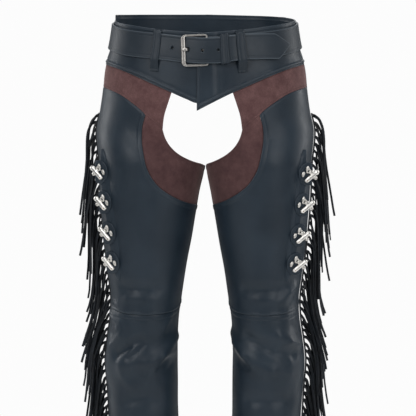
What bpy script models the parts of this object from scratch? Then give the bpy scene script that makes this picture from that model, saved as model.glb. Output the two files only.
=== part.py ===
# Fringed leather chaps, as worn: a belted yoke, two leather legs with suede insets, side fringe and conchos.
# Sizes in the tables are millimetres, and the meshes are metres. +X is the wearer's left, -Y the front,
# +Z up. The origin is the middle of the waist, level with the buckle. The open crotch and seat stay open.

import math

import bmesh
import bpy
from mathutils import Vector

MM = 0.001

# Driving sizes
WALL = 2.0                 # leather panels
SUEDE_WALL = 1.6
SEAM_GAP = 0.3             # air between two panels at a seam
LEATHER_RISE = 1.0         # leather faces stand this far over the suede faces
CROTCH_Z = -201.0          # where the front and seat openings meet on the inner leg
INSET_LOW_Z = -269.0       # where the suede inset ends on the inner leg
FOLDED_LOW_Z = -618.0       # the shin's cloth is folded down to here
HEM_Z = -985.0
TURN_MM = 230.0            # what one turn of a leg's tables is worth along the leather

# One leg as rings, from the hip down.
LEG_COLUMNS = ("height", "outer", "inner", "front", "back")
LEG_SECTIONS = (
    (-100, 178.0, 1.0, -112, 128),
    (-145, 185.5, 1.2, -111, 130),
    (-200, 180.5, 2.0, -106, 118),
    (-250, 179.0, 11.0, -101, 103),
    (-300, 175.5, 20.0, -96, 94),
    (-385, 166.0, 35.0, -88, 82),
    (-435, 160.5, 42.5, -84, 77),
    (-460, 161.5, 46.0, -83, 75),
    (-500, 167.0, 48.5, -80, 75),
    (-540, 171.0, 49.0, -77, 79),
    (-580, 168.0, 48.5, -74, 84),
    (-635, 165.0, 47.5, -71, 88),
    (-720, 162.5, 45.0, -69, 88),
    (-820, 163.0, 41.0, -70, 85),
    (-920, 166.5, 35.5, -73, 83),
    (-985, 170.0, 31.0, -76, 84),
)
# The hips as half rings, from the waist down.
HIP_COLUMNS = ("height", "half_width", "front", "back")
HIP_SECTIONS = (
    (60, 152.0, -103, 99),
    (48, 153.0, -104, 100),
    (20, 156.5, -105, 102),
    (0, 160.5, -107, 105),
    (-20, 167.0, -109, 110),
    (-45, 172.0, -111, 117),
    (-75, 174.5, -113, 124),
    (-110, 179.0, -114, 131),
    (-145, 185.0, -113, 132),
    (-200, 181.0, -110, 124),
)
LEG_POWER = 2.25           # rings a little squarer than ellipses
HIP_POWER = 2.2
BLEND_LOW, BLEND_HIGH = CROTCH_Z, -112.0   # the legs become the hips between these heights

# Seam lines of the front, as seen from the front: distance from the middle, height.
YOKE_EDGE = ((-8, -102.5), (26, -85), (51.5, -72.5), (85, -58), (115, -45), (145, -34), (175, -26.5))
UNDERLAP_EDGE = ((-21, -80), (-6.5, -87), (8, -90), (26, -83.5), (51.5, -72.5))
HIP_EDGE = ((180, -64), (173, -66), (147, -74), (127.6, -84.6), (105.2, -100.5), (95.5, -110.5))
CORNER_EDGE = ((95.5, -110.5), (81, -122), (67, -135.3))
OPENING_TOP = ((51.5, -72.5), (58, -92), (64, -112), (67, -135.3))
OPENING_LOW = ((67, -135.3), (62.5, -150), (54, -164), (41, -176.5), (25, -186.5), (9, -194.5))
INSET_EDGE = ((95.5, -110.5), (100.5, -129), (102, -147), (100, -168), (92.5, -201), (78.5, -225),
              (61.5, -240.6), (40.5, -254), (18, -265))
# Seam lines of the back.
BACK_YOKE_EDGE = ((175, -26.5), (130, -42), (88, -57), (45, -69), (0, -76))
SEAT_EDGE = ((88, -57), (100, -86), (106, -122), (101, -157), (85, -184), (60, -201), (34, -207), (14, -207))
# Heights by distance round: turns of a leg from the side seam.
KNEE_FRONT = ((0, -438), (0.25, -447), (0.5, -450), (0.75, -448), (1, -441))
KNEE_BACK = ((0, -438), (0.5, -431), (1, -441))
# Heights by quarter turns from the front middle: the yoke's top edge and the belt's middle.
WAIST_TOP = ((0, 27), (0.3, 33), (0.5, 38), (1, 47), (1.5, 53), (2, 56))
BELT_MIDDLE = ((0, 0), (0.5, 8), (1, 20.5), (1.5, 28), (2, 31))

# Large soft folds. A turn of 0 is the side seam, 0.5 the front of the leg, 1 the inner seam; the back is
# negative. The leg is -1 for the wearer's right and 1 for the left, and a trough's rise is negative.
FOLD_COLUMNS = ("leg", "turn_a", "height_a", "turn_b", "height_b", "half_width", "rise")
FOLDS = (
    (-1, 0.34, -404, 0.62, -404, 13, -3.6),
    (-1, 0.14, -452, 0.26, -476, 13, 3.4),
    (-1, 0.50, -494, 0.30, -520, 10, -5.2),
    (-1, 0.92, -494, 0.58, -532, 13, 4.6),
    (-1, 0.62, -528, 0.36, -540, 15, 3.2),
    (-1, 0.16, -516, 0.14, -560, 20, 3.0),
    (-1, 0.42, -592, 0.62, -598, 18, -3.2),
    (-1, -0.20, -470, -0.75, -500, 15, -4.0),
    (-1, -0.30, -520, -0.80, -536, 15, 3.8),
    (-1, 0.20, -905, 0.80, -880, 20, -3.2),
    (-1, -0.20, -870, -0.70, -905, 20, -3.4),
    (1, 0.36, -404, 0.64, -406, 13, -3.6),
    (1, 0.20, -406, 0.30, -425, 12, 2.6),
    (1, 0.92, -488, 0.48, -546, 12, 4.8),
    (1, 0.66, -490, 0.26, -520, 12, -5.0),
    (1, 0.38, -488, 0.14, -502, 13, 3.6),
    (1, 0.30, -598, 0.66, -598, 16, -3.2),
    (1, -0.25, -480, -0.80, -470, 15, -4.0),
    (1, -0.20, -525, -0.75, -545, 15, 3.8),
    (1, 0.25, -875, 0.75, -905, 20, -3.2),
    (1, -0.25, -905, -0.75, -880, 20, -3.4),
)

# The lap of the yoke front
FLY_EDGE_X = -8.7          # free edge, just past the middle
FLY_RISE = 2.4             # the wearer's left front stands this far over the other
FLY_RAMP = (20.5, 28.5)    # it comes down to the yoke here
LAP_COLUMNS = (40.0, 28.5, 20.5, 7.0, FLY_EDGE_X)
UNDERLAP_COLUMNS = (37.0, 22.5, 8.0, -6.5, -21.0)

# Belt and buckle. Rises are heights over the suede level.
BELT_THICK = 3.5
BELT_HALF = 21.5
BELT_SAG = ((-75, 0.0), (-50, -1.3), (-30, -2.5), (5, -3.5), (25, -4.1), (47, -2.0), (75, 0.0))
UNDER_SAG = 0.5            # share of the sag that the belt's lower layer has
BELT_TIP_X = 139.0
BELT_TIP_BASE_X = 121.0    # the belt narrows from here to its tip
BELT_TIP_V = 2.5           # the tip lies a little above the belt's middle
BELT_TIP_ROWS = (-3.6, -1.2, 1.2, 3.6)
BELT_LAPPED_X = (108, 92, 76, 62, 48)                    # stations where the belt lies on itself
BELT_AROUND = (-66, -80)                                # it goes round the back from the last of these
BELT_AROUND_STEPS = 38
HOLES = (-48.7, -24.2, 0.7, 26.3)
HOLE_CELL = 6.0            # half of the square of leather round a hole
HOLE_R = 2.4
PRONG_HOLE = (3.8, 3.3)
LOW_RISE = ((48, 3.9), (62, 2.0))                       # belt on the yoke, higher beside the buckle
TOP_RISE = ((-60, 2.0), (-45, 2.1), (-31, 2.8), (-24, 4.0), (-12, 5.9), (-2, 7.1), (8, 7.7), (48, 7.7),
            (62, 5.8))                                   # belt over the buckle's bar and the belt's other end
BUCKLE_LEFT, BUCKLE_RIGHT = -30.2, 8.2                   # middles of the frame's two bars
BUCKLE_MIDDLE_V = -2.8
BUCKLE_TURN = 2.5                                        # degrees that it leans
BUCKLE_HALF = 25.0
BUCKLE_CORNERS = (2.4, 5.5)                              # beside the belt bar, and the outer ones
BUCKLE_RISE = (8.9, 5.6)
BAR_HALF = (3.4, 1.6, 1.55)                              # outer bar, arms, belt bar
BAR_DEPTH = 1.6
BELT_END_X = BUCKLE_RIGHT + BAR_HALF[2] + 0.4           # the belt's other end, beside the belt bar
PRONG_V = -2.0
PRONG_PATH = ((6.2, 4.9), (-6, 4.8), (-14, 4.1), (-21.6, 3.3), (-25.6, 8.2), (-26.9, 11.3),
              (-29.5, 11.8), (-32.2, 11.7), (-33.4, 11.3))
PRONG_HALF = (2.1, 0.9)
PRONG_SECTION = ((-1, -0.5), (-0.6, -1), (0.6, -1), (1, -0.5), (1, 0.5), (0.6, 1), (-0.6, 1), (-1, 0.5))
KEEPER_X = (29.6, 43.6)
KEEPER_THICK = 1.5
FRONT_LOOPS_X = (-75.7, 63.3)
BACK_LOOPS = (("belt_loop_back_left", 1.36), ("belt_loop_back_middle", 2.0), ("belt_loop_back_right", -1.36))
LOOP_HALF = 7.2
LOOP_THICK = 1.5
LOOP_ENDS = (-41.0, 29.0)
LOOP_SLACK = (2.1, 0.9)    # below the belt and above it
LOOP_FALL = 10.9           # below the belt the loop comes down to the yoke over this height
LOOP_STEP = 1.0            # the loop turns in over this height
LOOP_BULGE = (12.0, 0.4)   # it stands a little off the belt's middle
LOOP_TOP_GAP = 0.6         # from its upper end to the waist's edge
LOOP_SIDE_RISE = 3.0
QUARTER_MM = 240.0         # what a quarter turn is worth along the belt
LOOP_GAP = 0.5
BELT_FACE = LOW_RISE[1][1] + BELT_THICK                  # rise of the belt's face on the yoke
LOOP_SEWN = 1.8            # rise of a loop's sewn ends

# Conchos on leather rosettes, along a flap that stands out in front of the side seam
FLAP_BEND = ((-150, 0.207), (-211.5, 0.214), (-264, 0.253), (-316, 0.28), (-366, 0.295), (-396, 0.30))
FLAP_SEWN = 0.035          # turns from the bend, where it leaves the leg, to its sewn edge
FLAP_ENDS = (-150.0, -393.0)
FLAP_ANGLE = 38.0          # degrees from straight aside towards the back
FLAP_REACH = 27.0
FLAP_CUT_BACK = 15.0       # its reach between the conchos
FLAP_LOBE = 16.0
FLAP_THICK = 2.4
FLAP_LIFT = 0.7            # air under the flap
FLAP_ROWS = 26
CONCHO_HEIGHTS = (-211.5, -264.0, -316.0, -366.0)
CONCHO_REACH = 19.5        # along the flap from its bend
ROSETTE_R = 20.0
ROSETTE_THICK = 1.8
ROSETTE_GAP = 1.0
LOBE_COLUMNS = ("degrees", "distance", "radius")        # on the wearer's right; mirrored on the left
CONCHO_LOBES = ((152, 9.3, 4.9), (213, 9.0, 4.3), (-60, 6.0, 4.4), (-60, 11.4, 4.2), (63, 10.3, 3.5),
                (6, 10.8, 3.8))
CONCHO_STRETCH = 1.15
CONCHO_CORE = 5.0
CONCHO_THICK = 1.6
CONCHO_DOME = 3.4
OUTLINE_POINTS = 24

# Fringe
STRANDS = 60               # a leg
STRIP_TURN = -0.03
STRIP_ENDS = (-112.0, -852.0)
STRIP_GAP = 0.8
STRIP_WIDTH = 5.0
STRIP_DEPTH = 3.0
ROOT_HEIGHT = 5.2
STRAND_PATH = ((6.0, 12.0), (14.0, 46.0))               # reach and drop; the tip's are worked out
STRAND_REACH = 32.0
STRAND_LENGTH = 166.0
STRAND_WIDE, STRAND_FLAT = 4.3, 1.6
TIP_LOWEST_Z = -976.0
FAN_FROM, FAN_OVER, FAN_SLOTS, FAN_STEP = -14.0, 90.0, 18, 7

# Grid steps
TOP_STEPS = 9              # across a thigh from the side seam to the corner of the insets
CORNER_STEPS = 3
HIP_STEPS = 3
YOKE_STEPS = 5
INSET_STEPS = 11
INSET_SPLIT = 5            # the thigh's upper block ends at this step of the inset's edge
LOWER_STEPS = 8            # rows of a thigh's lower block
SEAT_STEPS = (8, 5)        # beside the seat opening and under it
SEAT_MIDDLE_STEPS = 8
SHIN_FRONT_STEPS = 12
SHIN_BACK_STEPS = 9
FOLDED_STEPS, PLAIN_STEPS = 9, 5

COLOURS = {                # red, green, blue, roughness, metallic
    "leather": (0.030, 0.042, 0.056, 0.45, 0.0),
    "suede": (0.095, 0.045, 0.042, 0.90, 0.0),
    "fringe": (0.010, 0.013, 0.018, 0.60, 0.0),
    "silver": (0.72, 0.69, 0.65, 0.20, 1.0),
    "nickel": (0.52, 0.50, 0.48, 0.30, 1.0),
}


# Small mathematics

def ramp(low, high, value):
    """A soft step from 0 at low to 1 at high."""
    t = min(1.0, max(0.0, (value - low) / (high - low)))
    return t * t * (3 - 2 * t)


def curve(rows, value, column=1):
    """A smooth curve through a table whose first column rises or falls, held past its ends."""
    if rows[0][0] > rows[-1][0]:
        rows = tuple(reversed(rows))
    if value <= rows[0][0]:
        return rows[0][column]
    if value >= rows[-1][0]:
        return rows[-1][column]
    k = max(i for i in range(len(rows) - 1) if rows[i][0] <= value)

    def rise(i):
        return (rows[i + 1][column] - rows[i][column]) / (rows[i + 1][0] - rows[i][0])

    def slope(i):
        if i == 0 or i == len(rows) - 1:
            return rise(k)
        before, after = rise(i - 1), rise(i)
        return 0.0 if before * after <= 0 else 2 * before * after / (before + after)

    width = rows[k + 1][0] - rows[k][0]
    t = (value - rows[k][0]) / width
    return (rows[k][column] * (2 * t**3 - 3 * t**2 + 1) + rows[k + 1][column] * (3 * t**2 - 2 * t**3)
            + width * (slope(k) * (t**3 - 2 * t**2 + t) + slope(k + 1) * (t**3 - t**2)))


def squared(angle, power):
    """Cosine and sine of a squared-off ellipse."""
    c, s = math.cos(angle), math.sin(angle)
    return math.copysign(abs(c) ** (2 / power), c), math.copysign(abs(s) ** (2 / power), s)


# The leather's surface

def hip_point(quarter, z):
    """A point of the hips. The quarter is 0 in front, 1 on the wearer's left and 2 behind."""
    width, front, back = (curve(HIP_SECTIONS, z, c) for c in (1, 2, 3))
    ahead, aside = squared(quarter * math.pi / 2, HIP_POWER)
    return Vector((width * aside, ahead * (front if ahead > 0 else -back), z))


def leg_point(turn, z):
    outer, inner, front, back = (curve(LEG_SECTIONS, z, c) for c in (1, 2, 3, 4))
    aside, ahead = squared(turn * math.pi, LEG_POWER)
    middle = (front + back) * 0.12
    depth = middle - front if ahead > 0 else back - middle
    return Vector(((outer + inner) / 2 + (outer - inner) / 2 * aside, middle - depth * ahead, z))


def bare(leg, turn, z):
    """The smooth body of the garment, before its folds."""
    p = leg_point(turn, z).lerp(hip_point(1 - turn, z), ramp(BLEND_LOW, BLEND_HIGH, z))
    return Vector((p.x * leg, p.y, z))


def outward(leg, turn, z):
    around = bare(leg, turn + 0.012, z) - bare(leg, turn - 0.012, z)
    upward = bare(leg, turn, z + 2) - bare(leg, turn, z - 2)
    return upward.cross(around).normalized() * leg


def fold(leg, turn, z):
    total = 0.0
    for fold_leg, turn_a, z_a, turn_b, z_b, half_width, rise in FOLDS:
        if fold_leg != leg:
            continue
        run = Vector(((turn_b - turn_a) * TURN_MM, z_b - z_a))
        here = Vector(((turn - turn_a) * TURN_MM, z - z_a))
        along = min(1.0, max(0.0, here.dot(run) / run.length_squared))
        away = (here - run * along).length / half_width
        total += rise * math.exp(-1.3 * away * away)
    return total * ramp(0.03, 0.12, abs(turn)) * ramp(0.0, 0.08, 1 - abs(turn))


def surface(leg, turn, z, rise=0.0):
    """A point of the garment, moved out by rise from the suede's level."""
    return bare(leg, turn, z) + outward(leg, turn, z) * (rise + fold(leg, turn, z))


def turn_at(x, z, back=False):
    """The turn where the front, or the back, lies x from the middle at height z."""
    low, high = 0.0, 1.4
    for _ in range(40):
        middle = (low + high) / 2
        if bare(1, -middle if back else middle, z).x > x:
            low = middle
        else:
            high = middle
    return -low if back else low


# Seam lines, as points (turn, height)

def resample(points, count):
    """Divides a line into count equal steps."""
    run = [0.0]
    for a, b in zip(points, points[1:]):
        run.append(run[-1] + math.hypot((a[0] - b[0]) * TURN_MM, a[1] - b[1]))
    line = []
    for k in range(count + 1):
        want = run[-1] * k / count
        i = max(j for j in range(len(points) - 1) if run[j] <= want + 1e-9)
        t = (want - run[i]) / max(run[i + 1] - run[i], 1e-9)
        line.append(tuple(points[i][c] + (points[i + 1][c] - points[i][c]) * t for c in (0, 1)))
    return line


def rounded_line(table, steps=8):
    """A smooth line through a seam's points as seen from the front or back."""
    last = len(table) - 1
    fine = []
    for k in range(last):
        p0, p1, p2, p3 = (table[max(0, min(last, i))] for i in (k - 1, k, k + 1, k + 2))
        for j in range(steps):
            t = j / steps
            fine.append(tuple(0.5 * (2 * p1[c] + (p2[c] - p0[c]) * t
                                     + (2 * p0[c] - 5 * p1[c] + 4 * p2[c] - p3[c]) * t**2
                                     + (3 * p1[c] - p0[c] - 3 * p2[c] + p3[c]) * t**3) for c in (0, 1)))
    return fine + [table[-1]]


def seam(table, count, start=None, end=None, back=False):
    """A seam's steps. start replaces its first point, and end is added after its last one."""
    line = [(turn_at(x, z, back), z) for x, z in rounded_line(table)]
    if start:
        line[0] = start
    if end:
        line.append(end)
    return resample(line, count)


def straight(a, b, count):
    return [(a[0] + (b[0] - a[0]) * k / count, a[1] + (b[1] - a[1]) * k / count) for k in range(count + 1)]


def patch(top, bottom, left, right):
    """A grid of (turn, height) between four seam lines. left and right run downwards."""
    n, m = len(top) - 1, len(left) - 1
    grid = []
    for i in range(n + 1):
        u = i / n
        grid.append([])
        for j in range(m + 1):
            v = j / m
            point = []
            for c in (0, 1):
                edges = (1 - v) * top[i][c] + v * bottom[i][c] + (1 - u) * left[j][c] + u * right[j][c]
                corners = ((1 - v) * ((1 - u) * top[0][c] + u * top[n][c])
                           + v * ((1 - u) * bottom[0][c] + u * bottom[n][c]))
                point.append(edges - corners)
            grid[-1].append(tuple(point))
    return grid


def round_leg(table, count, side):
    """A line round the leg at the table's heights. side is 1 in front and -1 behind."""
    return [(side * k / count, curve(table, k / count)) for k in range(count + 1)]


def down_shin(turn, top):
    """A line down the shin, in short steps where it is folded."""
    return (straight((turn, top), (turn, FOLDED_LOW_Z), FOLDED_STEPS)
            + straight((turn, FOLDED_LOW_Z), (turn, HEM_Z), PLAIN_STEPS)[1:])


SIDE_YOKE = (0.0, curve(YOKE_EDGE, 174))
SIDE_HIP = (0.0, -65.5)
SIDE_SPLIT = (0.0, -215.0)
SIDE_KNEE = (0.0, KNEE_FRONT[0][1])
INNER_CROTCH = (1.0, CROTCH_Z)
INNER_INSET = (1.0, INSET_LOW_Z)
INNER_KNEE = (1.0, KNEE_FRONT[-1][1])

SIDE_UPPER = straight(SIDE_YOKE, SIDE_HIP, HIP_STEPS)
SIDE_MIDDLE = straight(SIDE_HIP, SIDE_SPLIT, INSET_SPLIT)
SIDE_LOWER = straight(SIDE_SPLIT, SIDE_KNEE, LOWER_STEPS)
INNER_SUEDE = straight(INNER_CROTCH, INNER_INSET, CORNER_STEPS)
INNER_FRONT = straight(INNER_INSET, INNER_KNEE, LOWER_STEPS)
INNER_BACK = straight((-1.0, CROTCH_Z), (-1.0, INNER_KNEE[1]), LOWER_STEPS)

HIP_LINE = seam(HIP_EDGE, TOP_STEPS, start=SIDE_HIP)
CORNER_LINE = seam(CORNER_EDGE, CORNER_STEPS)
YOKE_LINE = seam(tuple(reversed(YOKE_EDGE[2:])), TOP_STEPS + CORNER_STEPS, start=SIDE_YOKE)
OPENING_TOP_LINE = seam(OPENING_TOP, HIP_STEPS)
OPENING_LOW_LINE = seam(OPENING_LOW, INSET_STEPS, end=INNER_CROTCH)
INSET_LINE = seam(INSET_EDGE, INSET_STEPS, end=INNER_INSET)
BACK_YOKE_LINE = seam(BACK_YOKE_EDGE[:3], TOP_STEPS, start=SIDE_YOKE, back=True)
SEAT_SIDE_LINE = seam(SEAT_EDGE[:5], SEAT_STEPS[0], back=True)
SEAT_LOW_LINE = seam(SEAT_EDGE[4:], SEAT_STEPS[1], end=INNER_BACK[0], back=True)


# Meshes

def material(name):
    made = bpy.data.materials.get(name)
    if made is None:
        red, green, blue, roughness, metallic = COLOURS[name]
        made = bpy.data.materials.new(name)
        made.use_nodes = True
        shader = made.node_tree.nodes["Principled BSDF"]
        shader.inputs["Base Color"].default_value = (red, green, blue, 1)
        shader.inputs["Roughness"].default_value = roughness
        shader.inputs["Metallic"].default_value = metallic
    return made


def solid(name, points, faces, look, smooth_angle=40):
    """One closed body from points in millimetres, with its faces turned out."""
    mesh = bpy.data.meshes.new(name)
    mesh.from_pydata([p * MM for p in points], [], faces)
    body = bmesh.new()
    body.from_mesh(mesh)
    bmesh.ops.recalc_face_normals(body, faces=body.faces)
    body.to_mesh(mesh)
    body.free()
    mesh.materials.append(material(look))
    mesh.shade_smooth()
    mesh.set_sharp_from_angle(angle=math.radians(smooth_angle))
    obj = bpy.data.objects.new(name, mesh)
    bpy.context.scene.collection.objects.link(obj)


def free_edges(faces):
    """The edges that only one face has, each with that face."""
    found = {}
    for face in faces:
        for a, b in zip(face, face[1:] + face[:1]):
            key = (min(a, b), max(a, b))
            found[key] = None if key in found else face
    return [(a, b, face) for (a, b), face in found.items() if face]


def shell(name, outside, inside, faces, look):
    """A wall between two layers of points that share their faces, closed along every free edge."""
    below = len(outside)
    walls = faces + [[below + k for k in face] for face in faces]
    walls += [(a, b, below + b, below + a) for a, b, _ in free_edges(faces)]
    solid(name, outside + inside, walls, look)


def wall(name, outside, inside, look, holes=None):
    """A wall between two grids of points. holes gives the half sizes of a hole in a cell (i, j)."""
    holes = holes or {}
    n, m = len(outside), len(outside[0])
    faces = []
    layers = [[p for column in layer for p in column] for layer in (outside, inside)]
    for i in range(n - 1):
        for j in range(m - 1):
            corners = [i * m + j, (i + 1) * m + j, (i + 1) * m + j + 1, i * m + j + 1]
            if (i, j) not in holes:
                faces.append(corners)
                continue
            first = len(layers[0])
            for layer in layers:
                layer += hole_ring([layer[k] for k in corners], holes[i, j])
            for k in range(4):
                one, two = corners[k], corners[(k + 1) % 4]
                r0, r1, r2 = (first + (2 * k + step) % 8 for step in range(3))
                faces += [[one, two, r1], [one, r1, r0], [two, r2, r1]]
    shell(name, layers[0], layers[1], faces, look)


def hole_ring(corners, half_sizes):
    """Eight points round the middle of a cell."""
    a, b, c, d = corners
    middle = (a + b + c + d) / 4
    along = ((b + c) / 2 - middle).normalized() * half_sizes[0]
    across = ((c + d) / 2 - middle).normalized() * half_sizes[1]
    angles = [math.radians(225 + 45 * k) for k in range(8)]
    return [middle + along * math.cos(angle) + across * math.sin(angle) for angle in angles]


def part_seams(points, faces):
    """Moves a panel's border in by half a seam gap."""
    pulls = {}
    for a, b, face in free_edges(faces):
        edge = (points[b] - points[a]).normalized()
        inward = sum((points[k] for k in face), Vector()) / len(face) - points[a]
        inward = (inward - edge * inward.dot(edge)).normalized()
        for k in (a, b):
            pulls.setdefault(k, []).append(inward)
    moved = [p.copy() for p in points]
    for k, (one, two) in pulls.items():
        moved[k] += (one + two) / max(1 + one.dot(two), 0.4) * SEAM_GAP / 2
    return moved


def weld(grids):
    """Joins grids of (turn, height) that share lines into one list of spots and faces."""
    spots, faces, known = [], [], {}
    for grid in grids:
        index = []
        for column in grid:
            index.append([])
            for turn, z in column:
                key = (round(turn, 5), round(z, 2))
                if key not in known:
                    known[key] = len(spots)
                    spots.append((turn, z))
                index[-1].append(known[key])
        for i in range(len(grid) - 1):
            for j in range(len(grid[0]) - 1):
                faces.append([index[i][j], index[i + 1][j], index[i + 1][j + 1], index[i][j + 1]])
    return spots, faces


def panel(name, leg, grids, look="leather", extra=None):
    """A panel of the garment from its grids of (turn, height)."""
    rise, thick = (LEATHER_RISE, WALL) if look == "leather" else (0.0, SUEDE_WALL)
    spots, faces = weld(grids)

    def layer(level):
        points = []
        for turn, z in spots:
            more = extra(bare(leg, turn, z).x) if extra else 0.0
            points.append(surface(leg, turn, z, level + more))
        return part_seams(points, faces)

    shell(name, layer(rise), layer(rise - thick), faces, look)


def loft(name, rings, look, closed=False):
    """A bar through rings of equal point count, capped unless it is closed on itself."""
    size = len(rings[0])
    points = [p for ring in rings for p in ring]
    faces = []
    for r in range(len(rings) if closed else len(rings) - 1):
        a, b = r * size, (r + 1) % len(rings) * size
        for k in range(size):
            nxt = (k + 1) % size
            faces.append((a + k, a + nxt, b + nxt, b + k))
    if not closed:
        faces.append(tuple(range(size)))
        faces.append(tuple((len(rings) - 1) * size + k for k in range(size)))
    solid(name, points, faces, look)


# Yoke and legs

def lap_rise(x):
    """The lapped front stands over the other one, and comes down to the yoke beyond it."""
    return FLY_RISE * (1 - ramp(FLY_RAMP[0], FLY_RAMP[1], x))


def waist_top(turn):
    return curve(WAIST_TOP, abs(1 - turn))


def under_waist(name, leg, bottom, extra=None):
    """A yoke panel between the waist's edge and a lower edge."""
    top = [(turn, waist_top(turn)) for turn, _ in bottom]
    ends = [straight(top[k], bottom[k], YOKE_STEPS) for k in (0, -1)]
    panel(name, leg, [patch(top, bottom, ends[0], ends[1])], extra=extra)


def build_yoke():
    lap = [(turn_at(x, curve(YOKE_EDGE, x)), curve(YOKE_EDGE, x)) for x in LAP_COLUMNS]
    under_waist("yoke_front_left", 1, YOKE_LINE + lap, extra=lap_rise)
    underlap = [(turn_at(x, curve(UNDERLAP_EDGE, x)), curve(UNDERLAP_EDGE, x)) for x in UNDERLAP_COLUMNS]
    under_waist("yoke_front_right", -1, YOKE_LINE + underlap)
    quarter = BACK_YOKE_LINE[-1][0]
    seat_top = []
    for k in range(1, SEAT_MIDDLE_STEPS):
        turn = quarter + (-2 - 2 * quarter) * k / SEAT_MIDDLE_STEPS
        seat_top.append((turn, curve(BACK_YOKE_EDGE, abs(bare(1, turn, -60).x))))
    other_side = [(-2 - turn, z) for turn, z in reversed(BACK_YOKE_LINE)]
    under_waist("yoke_back", 1, BACK_YOKE_LINE + seat_top + other_side)


def build_insets(leg, word):
    hip = patch(YOKE_LINE, HIP_LINE + CORNER_LINE[1:], SIDE_UPPER, OPENING_TOP_LINE)
    panel("hip_inset_" + word, leg, [hip], "suede")
    thigh = patch(CORNER_LINE, INNER_SUEDE[::-1], INSET_LINE, OPENING_LOW_LINE)
    panel("thigh_inset_" + word, leg, [thigh], "suede")


def build_thigh(leg, word):
    """Each half has an upper block beside its opening and a lower one down to the knee seam."""
    across = straight(SIDE_SPLIT, INSET_LINE[INSET_SPLIT], TOP_STEPS)
    upper = patch(HIP_LINE, across, SIDE_MIDDLE, INSET_LINE[:INSET_SPLIT + 1])
    top = across + INSET_LINE[INSET_SPLIT + 1:]
    lower = patch(top, round_leg(KNEE_FRONT, len(top) - 1, 1), SIDE_LOWER, INNER_FRONT)
    panel("thigh_front_" + word, leg, [upper, lower])

    across = straight(SIDE_SPLIT, SEAT_SIDE_LINE[-1], TOP_STEPS)
    upper = patch(BACK_YOKE_LINE, across, SIDE_UPPER + SIDE_MIDDLE[1:], SEAT_SIDE_LINE)
    top = across + SEAT_LOW_LINE[1:]
    lower = patch(top, round_leg(KNEE_BACK, len(top) - 1, -1), SIDE_LOWER, INNER_BACK)
    panel("thigh_back_" + word, leg, [upper, lower])


def build_shin(leg, word):
    for name, table, steps, side in (("shin_front_", KNEE_FRONT, SHIN_FRONT_STEPS, 1),
                                     ("shin_back_", KNEE_BACK, SHIN_BACK_STEPS, -1)):
        hem = straight((0.0, HEM_Z), (side, HEM_Z), steps)
        down = patch(round_leg(table, steps, side), hem, down_shin(0.0, table[0][1]),
                     down_shin(side, table[-1][1]))
        panel(name + word, leg, [down])


# Belt, loops and buckle

def quarter_at(x):
    """Where the belt passes x in front."""
    low, high = -1.0, 1.0
    for _ in range(40):
        middle = (low + high) / 2
        if hip_point(middle, 0).x < x:
            low = middle
        else:
            high = middle
    return low


def at_belt(quarter, v, rise, sag=1.0):
    """A point v over the belt's middle line, which sags at the buckle, and rise over the suede's level."""
    near = abs((quarter + 2) % 4 - 2)
    low = curve(BELT_SAG, hip_point(quarter, 0).x) * sag if near < 1 else 0.0
    return surface(1, 1 - quarter, curve(BELT_MIDDLE, near) + low + v, rise)


def in_front(x, v, rise):
    """A point at x, v over the height of the buckle's origin and rise over the suede's level."""
    turn = turn_at(abs(x), v)
    return surface(1, turn if x > 0 else 2 - turn, v, rise)


def belt_low(x):
    return curve(LOW_RISE, x) + BELT_THICK / 2


def belt_top(x):
    return curve(TOP_RISE, x) + BELT_THICK / 2


def build_belt():
    """One strip, from its tip across the front and round the back to the buckle's bar."""
    lapped = [BELT_TIP_X, BELT_TIP_BASE_X, *BELT_LAPPED_X]
    pierced = [x + side * HOLE_CELL for x in reversed(HOLES) for side in (1, -1)]
    stations = [(quarter_at(x), belt_top(x)) for x in lapped + pierced + list(BELT_AROUND)]
    first, last = quarter_at(BELT_AROUND[-1]), quarter_at(BELT_TIP_X) - 4
    for k in range(1, BELT_AROUND_STEPS):
        stations.append((first + (last - first) * k / BELT_AROUND_STEPS, belt_low(BELT_TIP_X)))
    upper = len(stations)
    stations += [(quarter_at(x) - 4, belt_low(x)) for x in lapped + [34, 22, BELT_END_X]]
    outside, inside = [], []
    for k, (quarter, middle) in enumerate(stations):
        lines = [-BELT_HALF, -HOLE_CELL, HOLE_CELL, BELT_HALF]
        if k == 0:
            lines = [BELT_TIP_V + v for v in BELT_TIP_ROWS]
        sag = 1.0 if k < upper else UNDER_SAG
        outside.append([at_belt(quarter, v, middle + BELT_THICK / 2, sag) for v in lines])
        inside.append([at_belt(quarter, v, middle - BELT_THICK / 2, sag) for v in lines])
    holes = {}
    for k, x in enumerate(reversed(HOLES)):
        holes[len(lapped) + 2 * k, 1] = PRONG_HOLE if x == HOLES[1] else (HOLE_R, HOLE_R)
    wall("belt", outside, inside, "leather", holes)


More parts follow.
